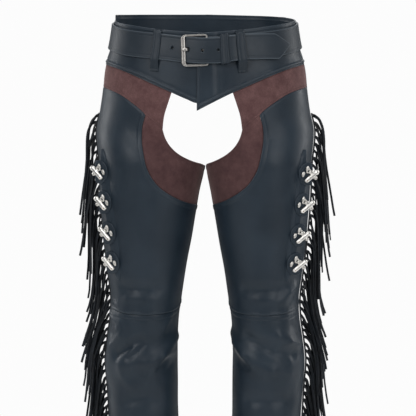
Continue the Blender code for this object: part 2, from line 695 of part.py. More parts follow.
def build_buckle():
    """A frame of four bars with round corners, its belt bar under the belt, and the prong through a hole."""
    path = []
    half_x = (BUCKLE_RIGHT - BUCKLE_LEFT) / 2
    middle_x = (BUCKLE_RIGHT + BUCKLE_LEFT) / 2
    for corner in range(4):
        sign_x, sign_v = ((1, 1), (-1, 1), (-1, -1), (1, -1))[corner]
        radius = BUCKLE_CORNERS[0] if sign_x > 0 else BUCKLE_CORNERS[1]
        for step in range(5):
            angle = math.radians(90 * corner + 22.5 * step)
            path.append((sign_x * (half_x - radius) + radius * math.cos(angle),
                         sign_v * (BUCKLE_HALF - radius) + radius * math.sin(angle), angle))
    lean = math.radians(BUCKLE_TURN)
    rings = []
    for x, v, angle in path:
        side = math.cos(angle)
        half = BAR_HALF[1] + ((BAR_HALF[2] if side > 0 else BAR_HALF[0]) - BAR_HALF[1]) * side * side
        share = (x + half_x) / (2 * half_x)
        rise = BUCKLE_RISE[0] + (BUCKLE_RISE[1] - BUCKLE_RISE[0]) * share
        ring = []
        for k in range(8):
            a = math.radians(45 * k + 22.5)
            out = half * max(-0.92, min(0.92, 1.25 * math.cos(a)))
            along, up = x + out * math.cos(angle), v + out * math.sin(angle)
            ring.append(in_front(middle_x + along * math.cos(lean) - up * math.sin(lean),
                                 BUCKLE_MIDDLE_V + along * math.sin(lean) + up * math.cos(lean),
                                 rise + BAR_DEPTH * max(-0.92, min(0.92, 1.25 * math.sin(a)))))
        rings.append(ring)
    loft("buckle_frame", rings, "nickel", closed=True)

    rings = []
    for k, (x, rise) in enumerate(PRONG_PATH):
        narrow = 0.6 if k == len(PRONG_PATH) - 1 else 1.0
        high, deep = PRONG_HALF[0] * narrow, PRONG_HALF[1] * narrow
        rings.append([in_front(x, PRONG_V + high * a, rise + deep * b) for a, b in PRONG_SECTION])
    loft("buckle_prong", rings, "nickel")


def build_keeper():
    """A leather band round both layers of the belt, beside the buckle."""
    back = belt_low(KEEPER_X[0]) - BELT_THICK / 2 - 0.6
    front = belt_top(KEEPER_X[0]) + BELT_THICK / 2 + 0.5
    rings = []
    raised = max(curve(BELT_SAG, x) * (UNDER_SAG - 1) for x in KEEPER_X)
    near, far = KEEPER_X
    for x, out in ((near, KEEPER_THICK), (far, KEEPER_THICK), (far, 0.0), (near, 0.0)):
        top, low = BELT_HALF + raised + 0.5 + out, -BELT_HALF - 0.8 - out
        rings.append([at_belt(quarter_at(x), v, rise)
                      for v, rise in ((top, back - out), (0, back - out), (low, back - out),
                                      (low, front + out), (0, front + out), (top, front + out))])
    loft("belt_keeper", rings, "leather", closed=True)


def build_loop(name, quarter, belt_face):
    """A loop sewn to the yoke over and under the belt."""
    width = LOOP_HALF / QUARTER_MM
    low, high = -BELT_HALF - LOOP_SLACK[0], BELT_HALF + LOOP_SLACK[1]
    bulge, face = LOOP_BULGE[0], belt_face + LOOP_BULGE[1]
    waist = curve(WAIST_TOP, abs(quarter)) - curve(BELT_MIDDLE, abs(quarter)) - LOOP_TOP_GAP
    top = min(LOOP_ENDS[1], waist)
    profile = [(LOOP_ENDS[0], LOOP_SEWN), (low - LOOP_FALL, LOOP_SEWN), (low - LOOP_STEP, LOOP_SIDE_RISE),
               (low, belt_face), (-bulge, face), (bulge, face), (high, belt_face),
               (high + LOOP_STEP, LOOP_SIDE_RISE)]
    profile += [(v, LOOP_SEWN) for v in (high + 4 * LOOP_STEP, top) if v <= top]
    layers = []
    for thick in (LOOP_THICK, 0.0):
        layers.append([[at_belt(quarter + side * width, v * (1 + 0.012 * thick), rise + thick)
                        for v, rise in profile] for side in (-1, 0, 1)])
    wall(name, layers[0], layers[1], "leather")


def build_loops():
    build_loop("belt_loop_front_right", quarter_at(FRONT_LOOPS_X[0]), BELT_FACE + LOOP_GAP)
    lapped = belt_top(FRONT_LOOPS_X[1] - LOOP_HALF) + BELT_THICK / 2
    build_loop("belt_loop_front_left", quarter_at(FRONT_LOOPS_X[1]), lapped + LOOP_GAP)
    for name, quarter in BACK_LOOPS:
        build_loop(name, quarter, BELT_FACE + LOOP_GAP)


# Conchos

def flap_frame(leg, z):
    """The flap's bend, its direction away from the leg, its face's direction and its upward one."""
    turn = curve(FLAP_BEND, z)
    start = surface(leg, turn, z, LEATHER_RISE + FLAP_LIFT)
    angle = math.radians(FLAP_ANGLE)
    away = Vector((leg * math.cos(angle), math.sin(angle), 0))
    up = (surface(leg, curve(FLAP_BEND, z + 5), z + 5) - surface(leg, curve(FLAP_BEND, z - 5), z - 5))
    face = away.cross(up).normalized() * leg
    return start, away, face, face.cross(away).normalized() * leg


def build_flap(leg, word):
    """A strip sewn to the leg along its front edge, cut back between the conchos."""
    high, low = FLAP_ENDS
    layers = []
    for level in (FLAP_THICK, 0.0):
        rows = [[], [], []]
        for k in range(FLAP_ROWS + 1):
            t = k / FLAP_ROWS
            z = high + (low - high) * t
            taper = 1 - 0.7 * (1 - min(1.0, 4 * min(t, 1 - t))) ** 2
            lobe = min(1.0, sum(math.exp(-((z - middle) / FLAP_LOBE) ** 2) for middle in CONCHO_HEIGHTS))
            reach = (FLAP_CUT_BACK + (FLAP_REACH - FLAP_CUT_BACK) * lobe) * taper
            start, away, face, _ = flap_frame(leg, z)
            bend = curve(FLAP_BEND, z)
            rows[0].append(surface(leg, bend + FLAP_SEWN * taper, z, LEATHER_RISE + FLAP_LIFT + level))
            rows[1].append(start + (face + outward(leg, bend, z)).normalized() * level)
            rows[2].append(start + away * reach + face * level)
        layers.append(rows)
    wall("concho_flap_" + word, layers[0], layers[1], "leather")


def stack(name, base, away, up, face, outlines, look):
    """A stud from outlines (level, [(along, across)]) between two flat ends, the last one pointed."""
    points, faces = [], []
    size = len(outlines[0][1])
    for level, outline in outlines:
        points += [base + away * a + up * b + face * level for a, b in outline]
    for r in range(len(outlines) - 1):
        for k in range(size):
            nxt = (k + 1) % size
            faces.append((r * size + k, r * size + nxt, (r + 1) * size + nxt, (r + 1) * size + k))
    faces.append(tuple(range(size)))
    last = (len(outlines) - 1) * size
    points.append(sum((points[last + k] for k in range(size)), Vector()) / size)
    for k in range(size):
        faces.append((last + k, last + (k + 1) % size, len(points) - 1))
    solid(name, points, faces, look)


def lobed(scale):
    """The concho's outline: the farthest of its lobes in each direction."""
    outline = []
    for k in range(OUTLINE_POINTS):
        angle = 2 * math.pi * k / OUTLINE_POINTS
        reach = CONCHO_CORE
        for degrees, distance, radius in CONCHO_LOBES:
            off = angle - math.radians(degrees)
            if abs(distance * math.sin(off)) < radius and math.cos(off) > 0:
                depth = math.sqrt(radius**2 - (distance * math.sin(off)) ** 2)
                reach = max(reach, distance * math.cos(off) + depth)
        outline.append((CONCHO_STRETCH * reach * scale * math.cos(angle), reach * scale * math.sin(angle)))
    return outline


def build_conchos(leg, word):
    for number, z in enumerate(CONCHO_HEIGHTS, start=1):
        start, away, face, up = flap_frame(leg, z)
        base = start + away * CONCHO_REACH + face * (FLAP_THICK + ROSETTE_GAP)
        angles = [math.pi * k / 7 for k in range(14)]
        disc = [(ROSETTE_R * math.cos(a), ROSETTE_R * math.sin(a)) for a in angles]
        worn = [(0.9 * a, 0.9 * b) for a, b in disc]
        stack("rosette_%s_%d" % (word, number), base, away, up, face,
              ((0, disc), (ROSETTE_THICK * 0.7, disc), (ROSETTE_THICK, worn)), "leather")
        base = base + face * (ROSETTE_THICK + 0.3)
        inner = [(0.55 * a, 0.55 * b) for a, b in lobed(1.0)]
        stack("concho_%s_%d" % (word, number), base, -away, up, face,
              ((0, lobed(1.0)), (CONCHO_THICK, lobed(0.94)), (CONCHO_DOME, inner)), "silver")


# Fringe

def strip_ring(leg, z):
    """The strip's four corners: by the leg in front and behind, then outside behind and in front."""
    middle = surface(leg, STRIP_TURN, z, LEATHER_RISE + STRIP_GAP)
    out = Vector((leg, 0, 0))
    half = Vector((0, STRIP_WIDTH / 2, 0))
    far = middle + out * STRIP_DEPTH
    return [middle - half, middle + half, far + half, far - half]


def strand_rings(leg, index, z):
    """The strand's sections below its root: it leans out, then hangs beside the leg."""
    slot = index * FAN_STEP % FAN_SLOTS
    angle = math.radians(FAN_FROM + FAN_OVER * slot / (FAN_SLOTS - 1))
    out = Vector((leg * math.cos(angle), math.sin(angle), 0))
    aside = Vector((-leg * math.sin(angle), math.cos(angle), 0))
    reach = STRAND_REACH * (0.86 + 0.24 * ((index * 5) % 7) / 6)
    drop = min(STRAND_LENGTH * (0.88 + 0.24 * ((index * 3) % 8) / 7), z - TIP_LOWEST_Z)
    path = [(0.0, 0.0)] + [(r, d * min(1.0, drop / 120)) for r, d in STRAND_PATH] + [(reach, drop)]
    rings = []
    for k in range(1, len(path)):
        (r0, d0), (r1, d1) = path[k - 1], path[min(k + 1, len(path) - 1)]
        run = Vector((r1 - r0, d1 - d0)).normalized()
        r, d = path[k]
        spot = strip_ring(leg, z - d)
        middle = (spot[2] + spot[3]) / 2 + out * r
        middle.z = z - d
        lift = (out * run.y + Vector((0, 0, run.x))) * STRAND_WIDE / 2
        side = aside * STRAND_FLAT / 2
        rings.append([middle + lift + side, middle + lift - side, middle - lift - side, middle - lift + side])
    return rings


def build_fringe(leg, word):
    """Strands grown out of every second length of a narrow strip beside the side seam."""
    pitch = (STRIP_ENDS[0] - STRIP_ENDS[1]) / STRANDS
    levels = []
    for k in range(STRANDS):
        top = STRIP_ENDS[0] - pitch * k
        levels += [top, top - ROOT_HEIGHT]
    points, faces = [], []
    for z in levels:
        points += strip_ring(leg, z)
    for r in range(len(levels) - 1):
        a, b = 4 * r, 4 * (r + 1)
        for k in range(4):
            if k == 2 and r % 2 == 0:
                continue
            nxt = (k + 1) % 4
            faces.append((a + k, a + nxt, b + nxt, b + k))
    last = 4 * (len(levels) - 1)
    faces.append((0, 1, 2, 3))
    faces.append((last, last + 1, last + 2, last + 3))
    for k in range(STRANDS):
        a, b = 8 * k, 8 * k + 4
        ring = [a + 2, a + 3, b + 3, b + 2]
        for section in strand_rings(leg, k, (levels[2 * k] + levels[2 * k + 1]) / 2):
            first = len(points)
            points += section
            nxt = [first, first + 1, first + 2, first + 3]
            for c in range(4):
                d = (c + 1) % 4
                faces.append((ring[c], ring[d], nxt[d], nxt[c]))
            ring = nxt
        faces.append(tuple(ring))
    solid("fringe_" + word, points, faces, "fringe", smooth_angle=60)


def main():
    for obj in list(bpy.data.objects):
        bpy.data.objects.remove(obj)
    build_yoke()
    build_belt()
    build_buckle()
    build_keeper()
    build_loops()
    for leg, word in ((1, "left"), (-1, "right")):
        build_insets(leg, word)
        build_thigh(leg, word)
        build_shin(leg, word)
        build_flap(leg, word)
        build_conchos(leg, word)
        build_fringe(leg, word)


main()
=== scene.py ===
"""Looks for the fringed leather chaps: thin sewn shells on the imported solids, with their materials, light and camera.

Sizes in the tables are millimetres, and the meshes are metres. +X is the wearer's left, -Y the front, +Z up.
"""

import math

import bmesh
import bpy
import numpy as np
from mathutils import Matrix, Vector


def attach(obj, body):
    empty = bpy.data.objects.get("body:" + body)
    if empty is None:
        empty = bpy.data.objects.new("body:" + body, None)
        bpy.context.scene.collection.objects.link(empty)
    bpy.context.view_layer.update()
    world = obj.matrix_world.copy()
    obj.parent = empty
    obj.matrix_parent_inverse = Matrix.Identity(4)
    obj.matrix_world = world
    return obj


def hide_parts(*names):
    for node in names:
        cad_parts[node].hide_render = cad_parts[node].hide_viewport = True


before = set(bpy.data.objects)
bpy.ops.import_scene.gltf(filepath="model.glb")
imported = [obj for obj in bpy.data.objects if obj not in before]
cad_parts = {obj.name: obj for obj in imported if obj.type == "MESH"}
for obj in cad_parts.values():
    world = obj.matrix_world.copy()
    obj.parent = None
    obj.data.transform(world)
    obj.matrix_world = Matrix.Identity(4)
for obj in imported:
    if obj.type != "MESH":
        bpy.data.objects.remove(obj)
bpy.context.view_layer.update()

MM = 0.001
BODY = "root"

# The garment's surface, as the solids have it
LEATHER_RISE = 1.0
WALL, SUEDE_WALL = 2.0, 1.6
SEAM_GAP = 0.3
CROTCH_Z, INSET_LOW_Z, HEM_Z = -201.0, -269.0, -985.0
TURN_MM = 230.0
LEG_SECTIONS = (           # height, outer, inner, front, back
    (-100, 178.0, 1.0, -112, 128), (-145, 185.5, 1.2, -111, 130), (-200, 180.5, 2.0, -106, 118),
    (-250, 179.0, 11.0, -101, 103), (-300, 175.5, 20.0, -96, 94), (-385, 166.0, 35.0, -88, 82),
    (-435, 160.5, 42.5, -84, 77), (-460, 161.5, 46.0, -83, 75), (-500, 167.0, 48.5, -80, 75),
    (-540, 171.0, 49.0, -77, 79), (-580, 168.0, 48.5, -74, 84), (-635, 165.0, 47.5, -71, 88),
    (-720, 162.5, 45.0, -69, 88), (-820, 163.0, 41.0, -70, 85), (-920, 166.5, 35.5, -73, 83),
    (-985, 170.0, 31.0, -76, 84),
)
HIP_SECTIONS = (           # height, half width, front, back
    (60, 152.0, -103, 99), (48, 153.0, -104, 100), (20, 156.5, -105, 102), (0, 160.5, -107, 105),
    (-20, 167.0, -109, 110), (-45, 172.0, -111, 117), (-75, 174.5, -113, 124), (-110, 179.0, -114, 131),
    (-145, 185.0, -113, 132), (-200, 181.0, -110, 124),
)
LEG_POWER, HIP_POWER = 2.25, 2.2
BLEND_LOW, BLEND_HIGH = CROTCH_Z, -112.0

# Seam lines as seen from the front or back: distance from the middle, height
YOKE_EDGE = ((-8, -102.5), (26, -85), (51.5, -72.5), (85, -58), (115, -45), (145, -34), (175, -26.5))
UNDERLAP_EDGE = ((-21, -80), (-6.5, -87), (8, -90), (26, -83.5), (51.5, -72.5))
HIP_EDGE = ((180, -64), (173, -66), (147, -74), (127.6, -84.6), (105.2, -100.5), (95.5, -110.5))
CORNER_EDGE = ((95.5, -110.5), (81, -122), (67, -135.3))
OPENING_TOP = ((51.5, -72.5), (58, -92), (64, -112), (67, -135.3))
OPENING_LOW = ((67, -135.3), (62.5, -150), (54, -164), (41, -176.5), (25, -186.5), (9, -194.5))
INSET_EDGE = ((95.5, -110.5), (100.5, -129), (102, -147), (100, -168), (92.5, -201), (78.5, -225),
              (61.5, -240.6), (40.5, -254), (18, -265))
BACK_YOKE_EDGE = ((175, -26.5), (130, -42), (88, -57), (45, -69), (0, -76))
SEAT_EDGE = ((88, -57), (100, -86), (106, -122), (101, -157), (85, -184), (60, -201), (34, -207), (14, -207))
KNEE_FRONT = ((0, -438), (0.25, -447), (0.5, -450), (0.75, -448), (1, -441))
KNEE_BACK = ((0, -438), (0.5, -431), (1, -441))
WAIST_TOP = ((0, 27), (0.3, 33), (0.5, 38), (1, 47), (1.5, 53), (2, 56))
BELT_MIDDLE = ((0, 0), (0.5, 8), (1, 20.5), (1.5, 28), (2, 31))
INSET_SPLIT = 5 / 11       # share of the inset's edge beside the thigh's upper block

# Folds: leg, turn and height at both ends, half width, rise. The first rows are the solids' own.
FOLDS = (
    (-1, 0.34, -404, 0.62, -404, 13, -3.6), (-1, 0.14, -452, 0.26, -476, 13, 3.4),
    (-1, 0.50, -494, 0.30, -520, 10, -5.2), (-1, 0.92, -494, 0.58, -532, 13, 4.6),
    (-1, 0.62, -528, 0.36, -540, 15, 3.2), (-1, 0.16, -516, 0.14, -560, 20, 3.0),
    (-1, 0.42, -592, 0.62, -598, 18, -3.2), (-1, -0.20, -470, -0.75, -500, 15, -4.0),
    (-1, -0.30, -520, -0.80, -536, 15, 3.8), (-1, 0.20, -905, 0.80, -880, 20, -3.2),
    (-1, -0.20, -870, -0.70, -905, 20, -3.4), (1, 0.36, -404, 0.64, -406, 13, -3.6),
    (1, 0.20, -406, 0.30, -425, 12, 2.6), (1, 0.92, -488, 0.48, -546, 12, 4.8),
    (1, 0.66, -490, 0.26, -520, 12, -5.0), (1, 0.38, -488, 0.14, -502, 13, 3.6),
    (1, 0.30, -598, 0.66, -598, 16, -3.2), (1, -0.25, -480, -0.80, -470, 15, -4.0),
    (1, -0.20, -525, -0.75, -545, 15, 3.8), (1, 0.25, -875, 0.75, -905, 20, -3.2),
    (1, -0.25, -905, -0.75, -880, 20, -3.4),
)

# Sharper creases as seen from the front or the back: leg, 1 in front and -1 behind, distance from the middle
# and height of both ends, half width, rise
CREASES = (
    (-1, 1, 140, -421, 125, -408, 8, -1.1), (-1, 1, 125, -408, 99, -408, 8, -1.2), (-1, 1, 99, -408, 82, -415, 8, -1.1),
    (-1, 1, 130, -421, 102, -422, 8, 1.3), (-1, 1, 160, -424, 146, -436, 7, 1.2),
    (-1, 1, 159, -452, 140, -464, 7, 2.0), (-1, 1, 140, -464, 136, -474, 7, 1.0), (-1, 1, 136, -474, 140, -487, 7, 1.2),
    (-1, 1, 140, -487, 159, -507, 8, 2.2), (-1, 1, 150, -470, 156, -488, 7, -1.6),
    (-1, 1, 128, -517, 117, -509, 5, 2.4), (-1, 1, 133, -507, 128, -503, 6, -1.6), (-1, 1, 127, -526, 97, -500, 5, -2.6),
    (-1, 1, 49, -506, 70, -523, 8, 1.8), (-1, 1, 70, -523, 85, -545, 8, 2.0), (-1, 1, 85, -545, 97, -560, 8, 1.6),
    (-1, 1, 56, -540, 74, -562, 9, -1.5), (-1, 1, 55, -452, 66, -472, 7, 1.5), (-1, 1, 60, -486, 84, -498, 8, -1.3),
    (-1, 1, 138, -555, 125, -575, 9, 1.6), (-1, 1, 132, -604, 99, -592, 10, -1.8), (-1, 1, 112, -545, 120, -560, 8, -1.2),
    (-1, 1, 60, -223, 100, -201, 9, -1.2),
    (-1, 1, 60, -640, 96, -655, 12, 1.3), (-1, 1, 130, -690, 96, -716, 14, -1.4), (-1, 1, 55, -780, 100, -800, 14, 1.3),
    (-1, 1, 70, -905, 120, -925, 9, 1.8), (-1, 1, 140, -930, 96, -952, 8, -1.6), (-1, 1, 60, -870, 92, -880, 9, -1.4),
    (1, 1, 160, -398, 144, -411, 7, 1.6), (1, 1, 144, -411, 126, -430, 7, 1.5), (1, 1, 128, -412, 98, -408, 8, -1.2),
    (1, 1, 98, -408, 82, -416, 8, -1.0), (1, 1, 96, -424, 118, -424, 9, 1.2),
    (1, 1, 53, -504, 69, -521, 7, 2.2), (1, 1, 69, -521, 84, -540, 7, 2.2), (1, 1, 84, -540, 103, -556, 8, 1.6),
    (1, 1, 84, -497, 115, -512, 7, -2.2), (1, 1, 115, -512, 143, -530, 7, -2.0), (1, 1, 62, -538, 88, -566, 8, -1.6),
    (1, 1, 125, -506, 146, -497, 7, 1.9), (1, 1, 146, -497, 163, -508, 7, 1.9), (1, 1, 150, -470, 160, -486, 8, -1.4),
    (1, 1, 89, -597, 131, -597, 10, -1.8), (1, 1, 60, -223, 100, -201, 9, -1.2),
    (1, 1, 120, -542, 148, -552, 9, 1.5), (1, 1, 60, -655, 100, -640, 12, 1.3), (1, 1, 128, -700, 92, -724, 14, -1.4),
    (1, 1, 60, -800, 104, -786, 14, 1.3), (1, 1, 66, -912, 116, -930, 9, 1.8), (1, 1, 138, -925, 98, -950, 8, -1.6),
    (-1, -1, 60, -452, 140, -462, 6, 1.8), (-1, -1, 70, -478, 150, -470, 6, -2.0), (-1, -1, 56, -505, 120, -520, 7, 1.9),
    (-1, -1, 90, -540, 150, -532, 7, -1.6), (-1, -1, 70, -905, 130, -890, 9, 1.7), (-1, -1, 60, -930, 120, -948, 9, -1.5),
    (-1, -1, 50, -222, 120, -236, 9, 1.4), (-1, -1, 60, -250, 110, -262, 9, -1.2), (-1, -1, 80, -700, 130, -730, 14, 1.3),
    (1, -1, 60, -458, 140, -450, 6, 1.8), (1, -1, 66, -474, 146, -486, 6, -2.0), (1, -1, 60, -520, 124, -506, 7, 1.9),
    (1, -1, 84, -532, 150, -544, 7, -1.6), (1, -1, 66, -892, 130, -908, 9, 1.7), (1, -1, 64, -946, 124, -930, 9, -1.5),
    (1, -1, 46, -224, 116, -238, 9, 1.4), (1, -1, 60, -256, 112, -266, 9, -1.2), (1, -1, 80, -724, 130, -700, 14, 1.3),
)

# Belt and buckle
BELT_THICK, BELT_HALF = 3.5, 21.5
BELT_SAG = ((-75, 0.0), (-50, -1.3), (-30, -2.5), (5, -3.5), (25, -4.1), (47, -2.0), (75, 0.0))
UNDER_SAG = 0.5            # share of the sag that the belt's lower layer has
BELT_TIP_X, BELT_TIP_BASE_X, BELT_TIP_HALF = 139.0, 119.0, 2.6
TIP_DROP = ((60, 0.0), (80, -1.2), (100, -2.6), (117, -4.6), (139, -6.6))    # the free end hangs straighter
BELT_AROUND_X, BELT_AROUND_STEPS = -80.0, 170
HOLES = (-48.7, -24.2, 0.7, 26.3)
HOLE_R, PRONG_HOLE = 2.4, (3.8, 3.3)
LOW_RISE = ((48, 3.9), (62, 2.0))
TOP_RISE = ((-60, 2.0), (-45, 2.1), (-31, 2.8), (-24, 4.0), (-12, 5.9), (-2, 7.1), (8, 7.7), (48, 7.7), (62, 5.8))
BUCKLE_LEFT, BUCKLE_RIGHT, BUCKLE_HALF = -30.2, 8.2, 25.0
BUCKLE_MIDDLE_V, BUCKLE_TURN, BUCKLE_CORNERS, BUCKLE_RISE = -2.8, 2.5, (2.4, 5.5), (8.9, 5.6)
BAR_HALF, BAR_DEPTH = (3.4, 1.6, 1.55), 1.6
PRONG_V = -2.0
PRONG_PATH = ((6.2, 4.9), (-6, 4.8), (-14, 4.1), (-19.5, 3.3), (-21.6, 7.0), (-22.8, 10.4),
              (-24.6, 12.0), (-28, 12.3), (-31.0, 12.1), (-32.4, 11.5))
PRONG_HALF = (2.4, 1.15)
KEEPER_X, KEEPER_THICK = (29.6, 43.6), 1.5
FRONT_LOOPS_X = (-75.7, 63.3)
BACK_LOOPS = (("belt_loop_back_left", 1.36), ("belt_loop_back_middle", 2.0), ("belt_loop_back_right", -1.36))
LOOP_HALF, LOOP_THICK, LOOP_SEWN, LOOP_GAP = 7.2, 1.5, 1.8, 0.5
LOOP_ENDS, LOOP_SLACK = (-41.0, 29.0), (2.1, 0.9)
QUARTER_MM = 240.0

# Conchos
FLAP_BEND = ((-150, 0.207), (-211.5, 0.214), (-264, 0.253), (-316, 0.28), (-366, 0.295), (-396, 0.30))
FLAP_SEWN, FLAP_LIFT, FLAP_ENDS = 0.035, 0.7, (-170.0, -393.0)
FLAP_ANGLE, FLAP_REACH, FLAP_CUT_BACK, FLAP_LOBE, FLAP_THICK = 38.0, 21.5, 12.0, 15.0, 2.4
CONCHO_HEIGHTS = {-1: (-208.5, -260.0, -311.5, -362.0), 1: (-211.3, -262.6, -314.0, -362.5)}
CONCHO_REACH = 13.6
ROSETTE_GAP, ROSETTE_THICK = 1.0, 1.8
ROSETTE_CUT = (7.0, 0.2)  # beyond this distance on its outer side the rosette is narrowed to this share

# Fringe
STRANDS, STRIP_TURN, STRIP_ENDS = 60, -0.03, (-112.0, -852.0)
STRIP_GAP, STRIP_WIDTH, STRIP_DEPTH = 0.8, 5.0, 3.0
STRAND_PATH, STRAND_REACH, STRAND_LENGTH = ((5.0, 3.0), (11.5, 13.0), (16.0, 46.0)), 32.0, 166.0
STRAND_WIDE, STRAND_FLAT, TIP_LOWEST_Z = 4.3, 1.6, -976.0
FAN_FROM, FAN_OVER, FAN_SLOTS, FAN_STEP = -14.0, 72.0, 18, 7

# Mesh steps
EDGE_MM = (0.0, 1.1, 2.2, 3.4, 4.6, 5.8, 7.0, 8.2, 9.6, 11.4)   # grid lines beside a seam
STEP_MM = 3.2


# Small mathematics on arrays

def ramp(low, high, value):
    t = np.clip((value - low) / (high - low), 0.0, 1.0)
    return t * t * (3 - 2 * t)


def curve(rows, value, column=1):
    """A smooth curve through a table whose first column rises or falls, held past its ends."""
    table = np.array(sorted(rows), float)
    x, y = table[:, 0], table[:, column]
    rise = np.diff(y) / np.diff(x)
    slope = np.concatenate([rise[:1], np.zeros(len(x) - 2), rise[-1:]])
    before, after = rise[:-1], rise[1:]
    same = before * after > 0
    slope[1:-1][same] = 2 * (before * after)[same] / (before + after)[same]
    value = np.clip(np.asarray(value, float), x[0], x[-1])
    k = np.clip(np.searchsorted(x, value, side="right") - 1, 0, len(x) - 2)
    width = x[k + 1] - x[k]
    t = (value - x[k]) / width
    return (y[k] * (2 * t**3 - 3 * t**2 + 1) + y[k + 1] * (3 * t**2 - 2 * t**3)
            + width * (slope[k] * (t**3 - 2 * t**2 + t) + slope[k + 1] * (t**3 - t**2)))


def squared(angle, power):
    c, s = np.cos(angle), np.sin(angle)
    return np.sign(c) * np.abs(c) ** (2 / power), np.sign(s) * np.abs(s) ** (2 / power)


def unit(v):
    return v / np.maximum(np.linalg.norm(v, axis=-1, keepdims=True), 1e-12)


# The leather's surface

def hip_point(quarter, z):
    width, front, back = (curve(HIP_SECTIONS, z, c) for c in (1, 2, 3))
    ahead, aside = squared(quarter * math.pi / 2, HIP_POWER)
    return np.stack(np.broadcast_arrays(width * aside, ahead * np.where(ahead > 0, front, -back), z), axis=-1)


def leg_point(turn, z):
    outer, inner, front, back = (curve(LEG_SECTIONS, z, c) for c in (1, 2, 3, 4))
    aside, ahead = squared(turn * math.pi, LEG_POWER)
    middle = (front + back) * 0.12
    depth = np.where(ahead > 0, middle - front, back - middle)
    x = (outer + inner) / 2 + (outer - inner) / 2 * aside
    return np.stack(np.broadcast_arrays(x, middle - depth * ahead, z), axis=-1)


def bare(leg, turn, z):
    turn, z = np.asarray(turn, float), np.asarray(z, float)
    share = ramp(BLEND_LOW, BLEND_HIGH, z)[..., None]
    point = leg_point(turn, z) * (1 - share) + hip_point(1 - turn, z) * share
    return point * np.array((leg, 1.0, 1.0))


def outward(leg, turn, z):
    around = bare(leg, turn + 0.012, z) - bare(leg, turn - 0.012, z)
    upward = bare(leg, turn, z + 2) - bare(leg, turn, z - 2)
    return unit(np.cross(upward, around)) * leg


def fold(leg, turn, z):
    total = np.zeros(np.shape(turn))
    for fold_leg, turn_a, z_a, turn_b, z_b, half_width, rise in FOLDS + SHARP_FOLDS:
        if fold_leg != leg:
            continue
        run_t, run_z = (turn_b - turn_a) * TURN_MM, z_b - z_a
        here_t, here_z = (turn - turn_a) * TURN_MM, z - z_a
        along = np.clip((here_t * run_t + here_z * run_z) / (run_t**2 + run_z**2), 0, 1)
        away2 = ((here_t - run_t * along) ** 2 + (here_z - run_z * along) ** 2) / half_width**2
        total += rise * np.exp(-1.3 * away2 ** (1.0 if half_width > 9 else 0.8))
    return total * ramp(0.03, 0.12, np.abs(turn)) * ramp(0.0, 0.08, 1 - np.abs(turn))


def surface(leg, turn, z, rise=0.0):
    turn, z = np.broadcast_arrays(np.asarray(turn, float), np.asarray(z, float))
    lift = np.broadcast_to(rise, turn.shape) + fold(leg, turn, z)
    return bare(leg, turn, z) + outward(leg, turn, z) * lift[..., None]


def turn_at(x, z, back=False):
    low, high = np.zeros(np.shape(x)), np.full(np.shape(x), 1.4)
    for _ in range(40):
        middle = (low + high) / 2
        past = bare(1, -middle if back else middle, z)[..., 0] > x
        low, high = np.where(past, middle, low), np.where(past, high, middle)
    return -low if back else low


def sharp_folds():
    rows = []
    for leg, side, x_a, z_a, x_b, z_b, half_width, rise in CREASES:
        turns = turn_at(np.array([x_a, x_b], float), np.array([z_a, z_b], float), back=side < 0)
        rows.append((leg, float(turns[0]), z_a, float(turns[1]), z_b, half_width, rise))
    return tuple(rows)


SHARP_FOLDS = sharp_folds()


# Seam lines, as arrays of (turn, height)

def rounded_line(table, steps=8):
    last = len(table) - 1
    fine = []
    for k in range(last):
        p0, p1, p2, p3 = (np.array(table[max(0, min(last, i))], float) for i in (k - 1, k, k + 1, k + 2))
        for j in range(steps):
            t = j / steps
            fine.append(0.5 * (2 * p1 + (p2 - p0) * t + (2 * p0 - 5 * p1 + 4 * p2 - p3) * t**2
                               + (3 * p1 - p0 - 3 * p2 + p3) * t**3))
    return np.array(fine + [np.array(table[-1], float)])


def seam(table, start=None, end=None, back=False):
    line = rounded_line(table)
    line = np.stack([turn_at(line[:, 0], line[:, 1], back), line[:, 1]], axis=1)
    if start is not None:
        line[0] = start
    return line if end is None else np.vstack([line, end])


def straight(a, b, count=12):
    t = np.linspace(0, 1, count + 1)[:, None]
    return np.array(a) * (1 - t) + np.array(b) * t


def along(line, shares):
    """Points of a line at shares of its length."""
    steps = np.diff(line, axis=0) * (TURN_MM, 1.0)
    run = np.concatenate([[0.0], np.cumsum(np.linalg.norm(steps, axis=1))])
    return np.stack([np.interp(shares * run[-1], run, line[:, c]) for c in (0, 1)], axis=1)


def spread(length, fine_start=True, fine_end=True, step=STEP_MM):
    """Shares of a line, closer together beside a sewn end."""
    near = np.array(EDGE_MM)
    start = near if fine_start else near[:1]
    end = length - (near if fine_end else near[:1])[::-1]
    count = max(1, math.ceil((end[0] - start[-1]) / step))
    return np.concatenate([start[:-1], np.linspace(start[-1], end[0], count + 1), end[1:]]) / length


def patch(top, bottom, left, right, u, v):
    """A grid of (turn, height) between four lines. left and right run downwards."""
    a, b = u[:, None, None], v[None, :, None]
    edges = (1 - b) * top[:, None] + b * bottom[:, None] + (1 - a) * left[None] + a * right[None]
    corners = (1 - b) * ((1 - a) * top[0] + a * top[-1]) + b * ((1 - a) * bottom[0] + a * bottom[-1])
    grid = edges - corners
    grid[:, 0], grid[:, -1], grid[0], grid[-1] = top, bottom, left, right
    return grid


SIDE_YOKE = (0.0, float(curve(YOKE_EDGE, 174)))
SIDE_HIP, SIDE_SPLIT, SIDE_KNEE = (0.0, -65.5), (0.0, -215.0), (0.0, KNEE_FRONT[0][1])
INNER_CROTCH, INNER_INSET, INNER_KNEE = (1.0, CROTCH_Z), (1.0, INSET_LOW_Z), (1.0, KNEE_FRONT[-1][1])

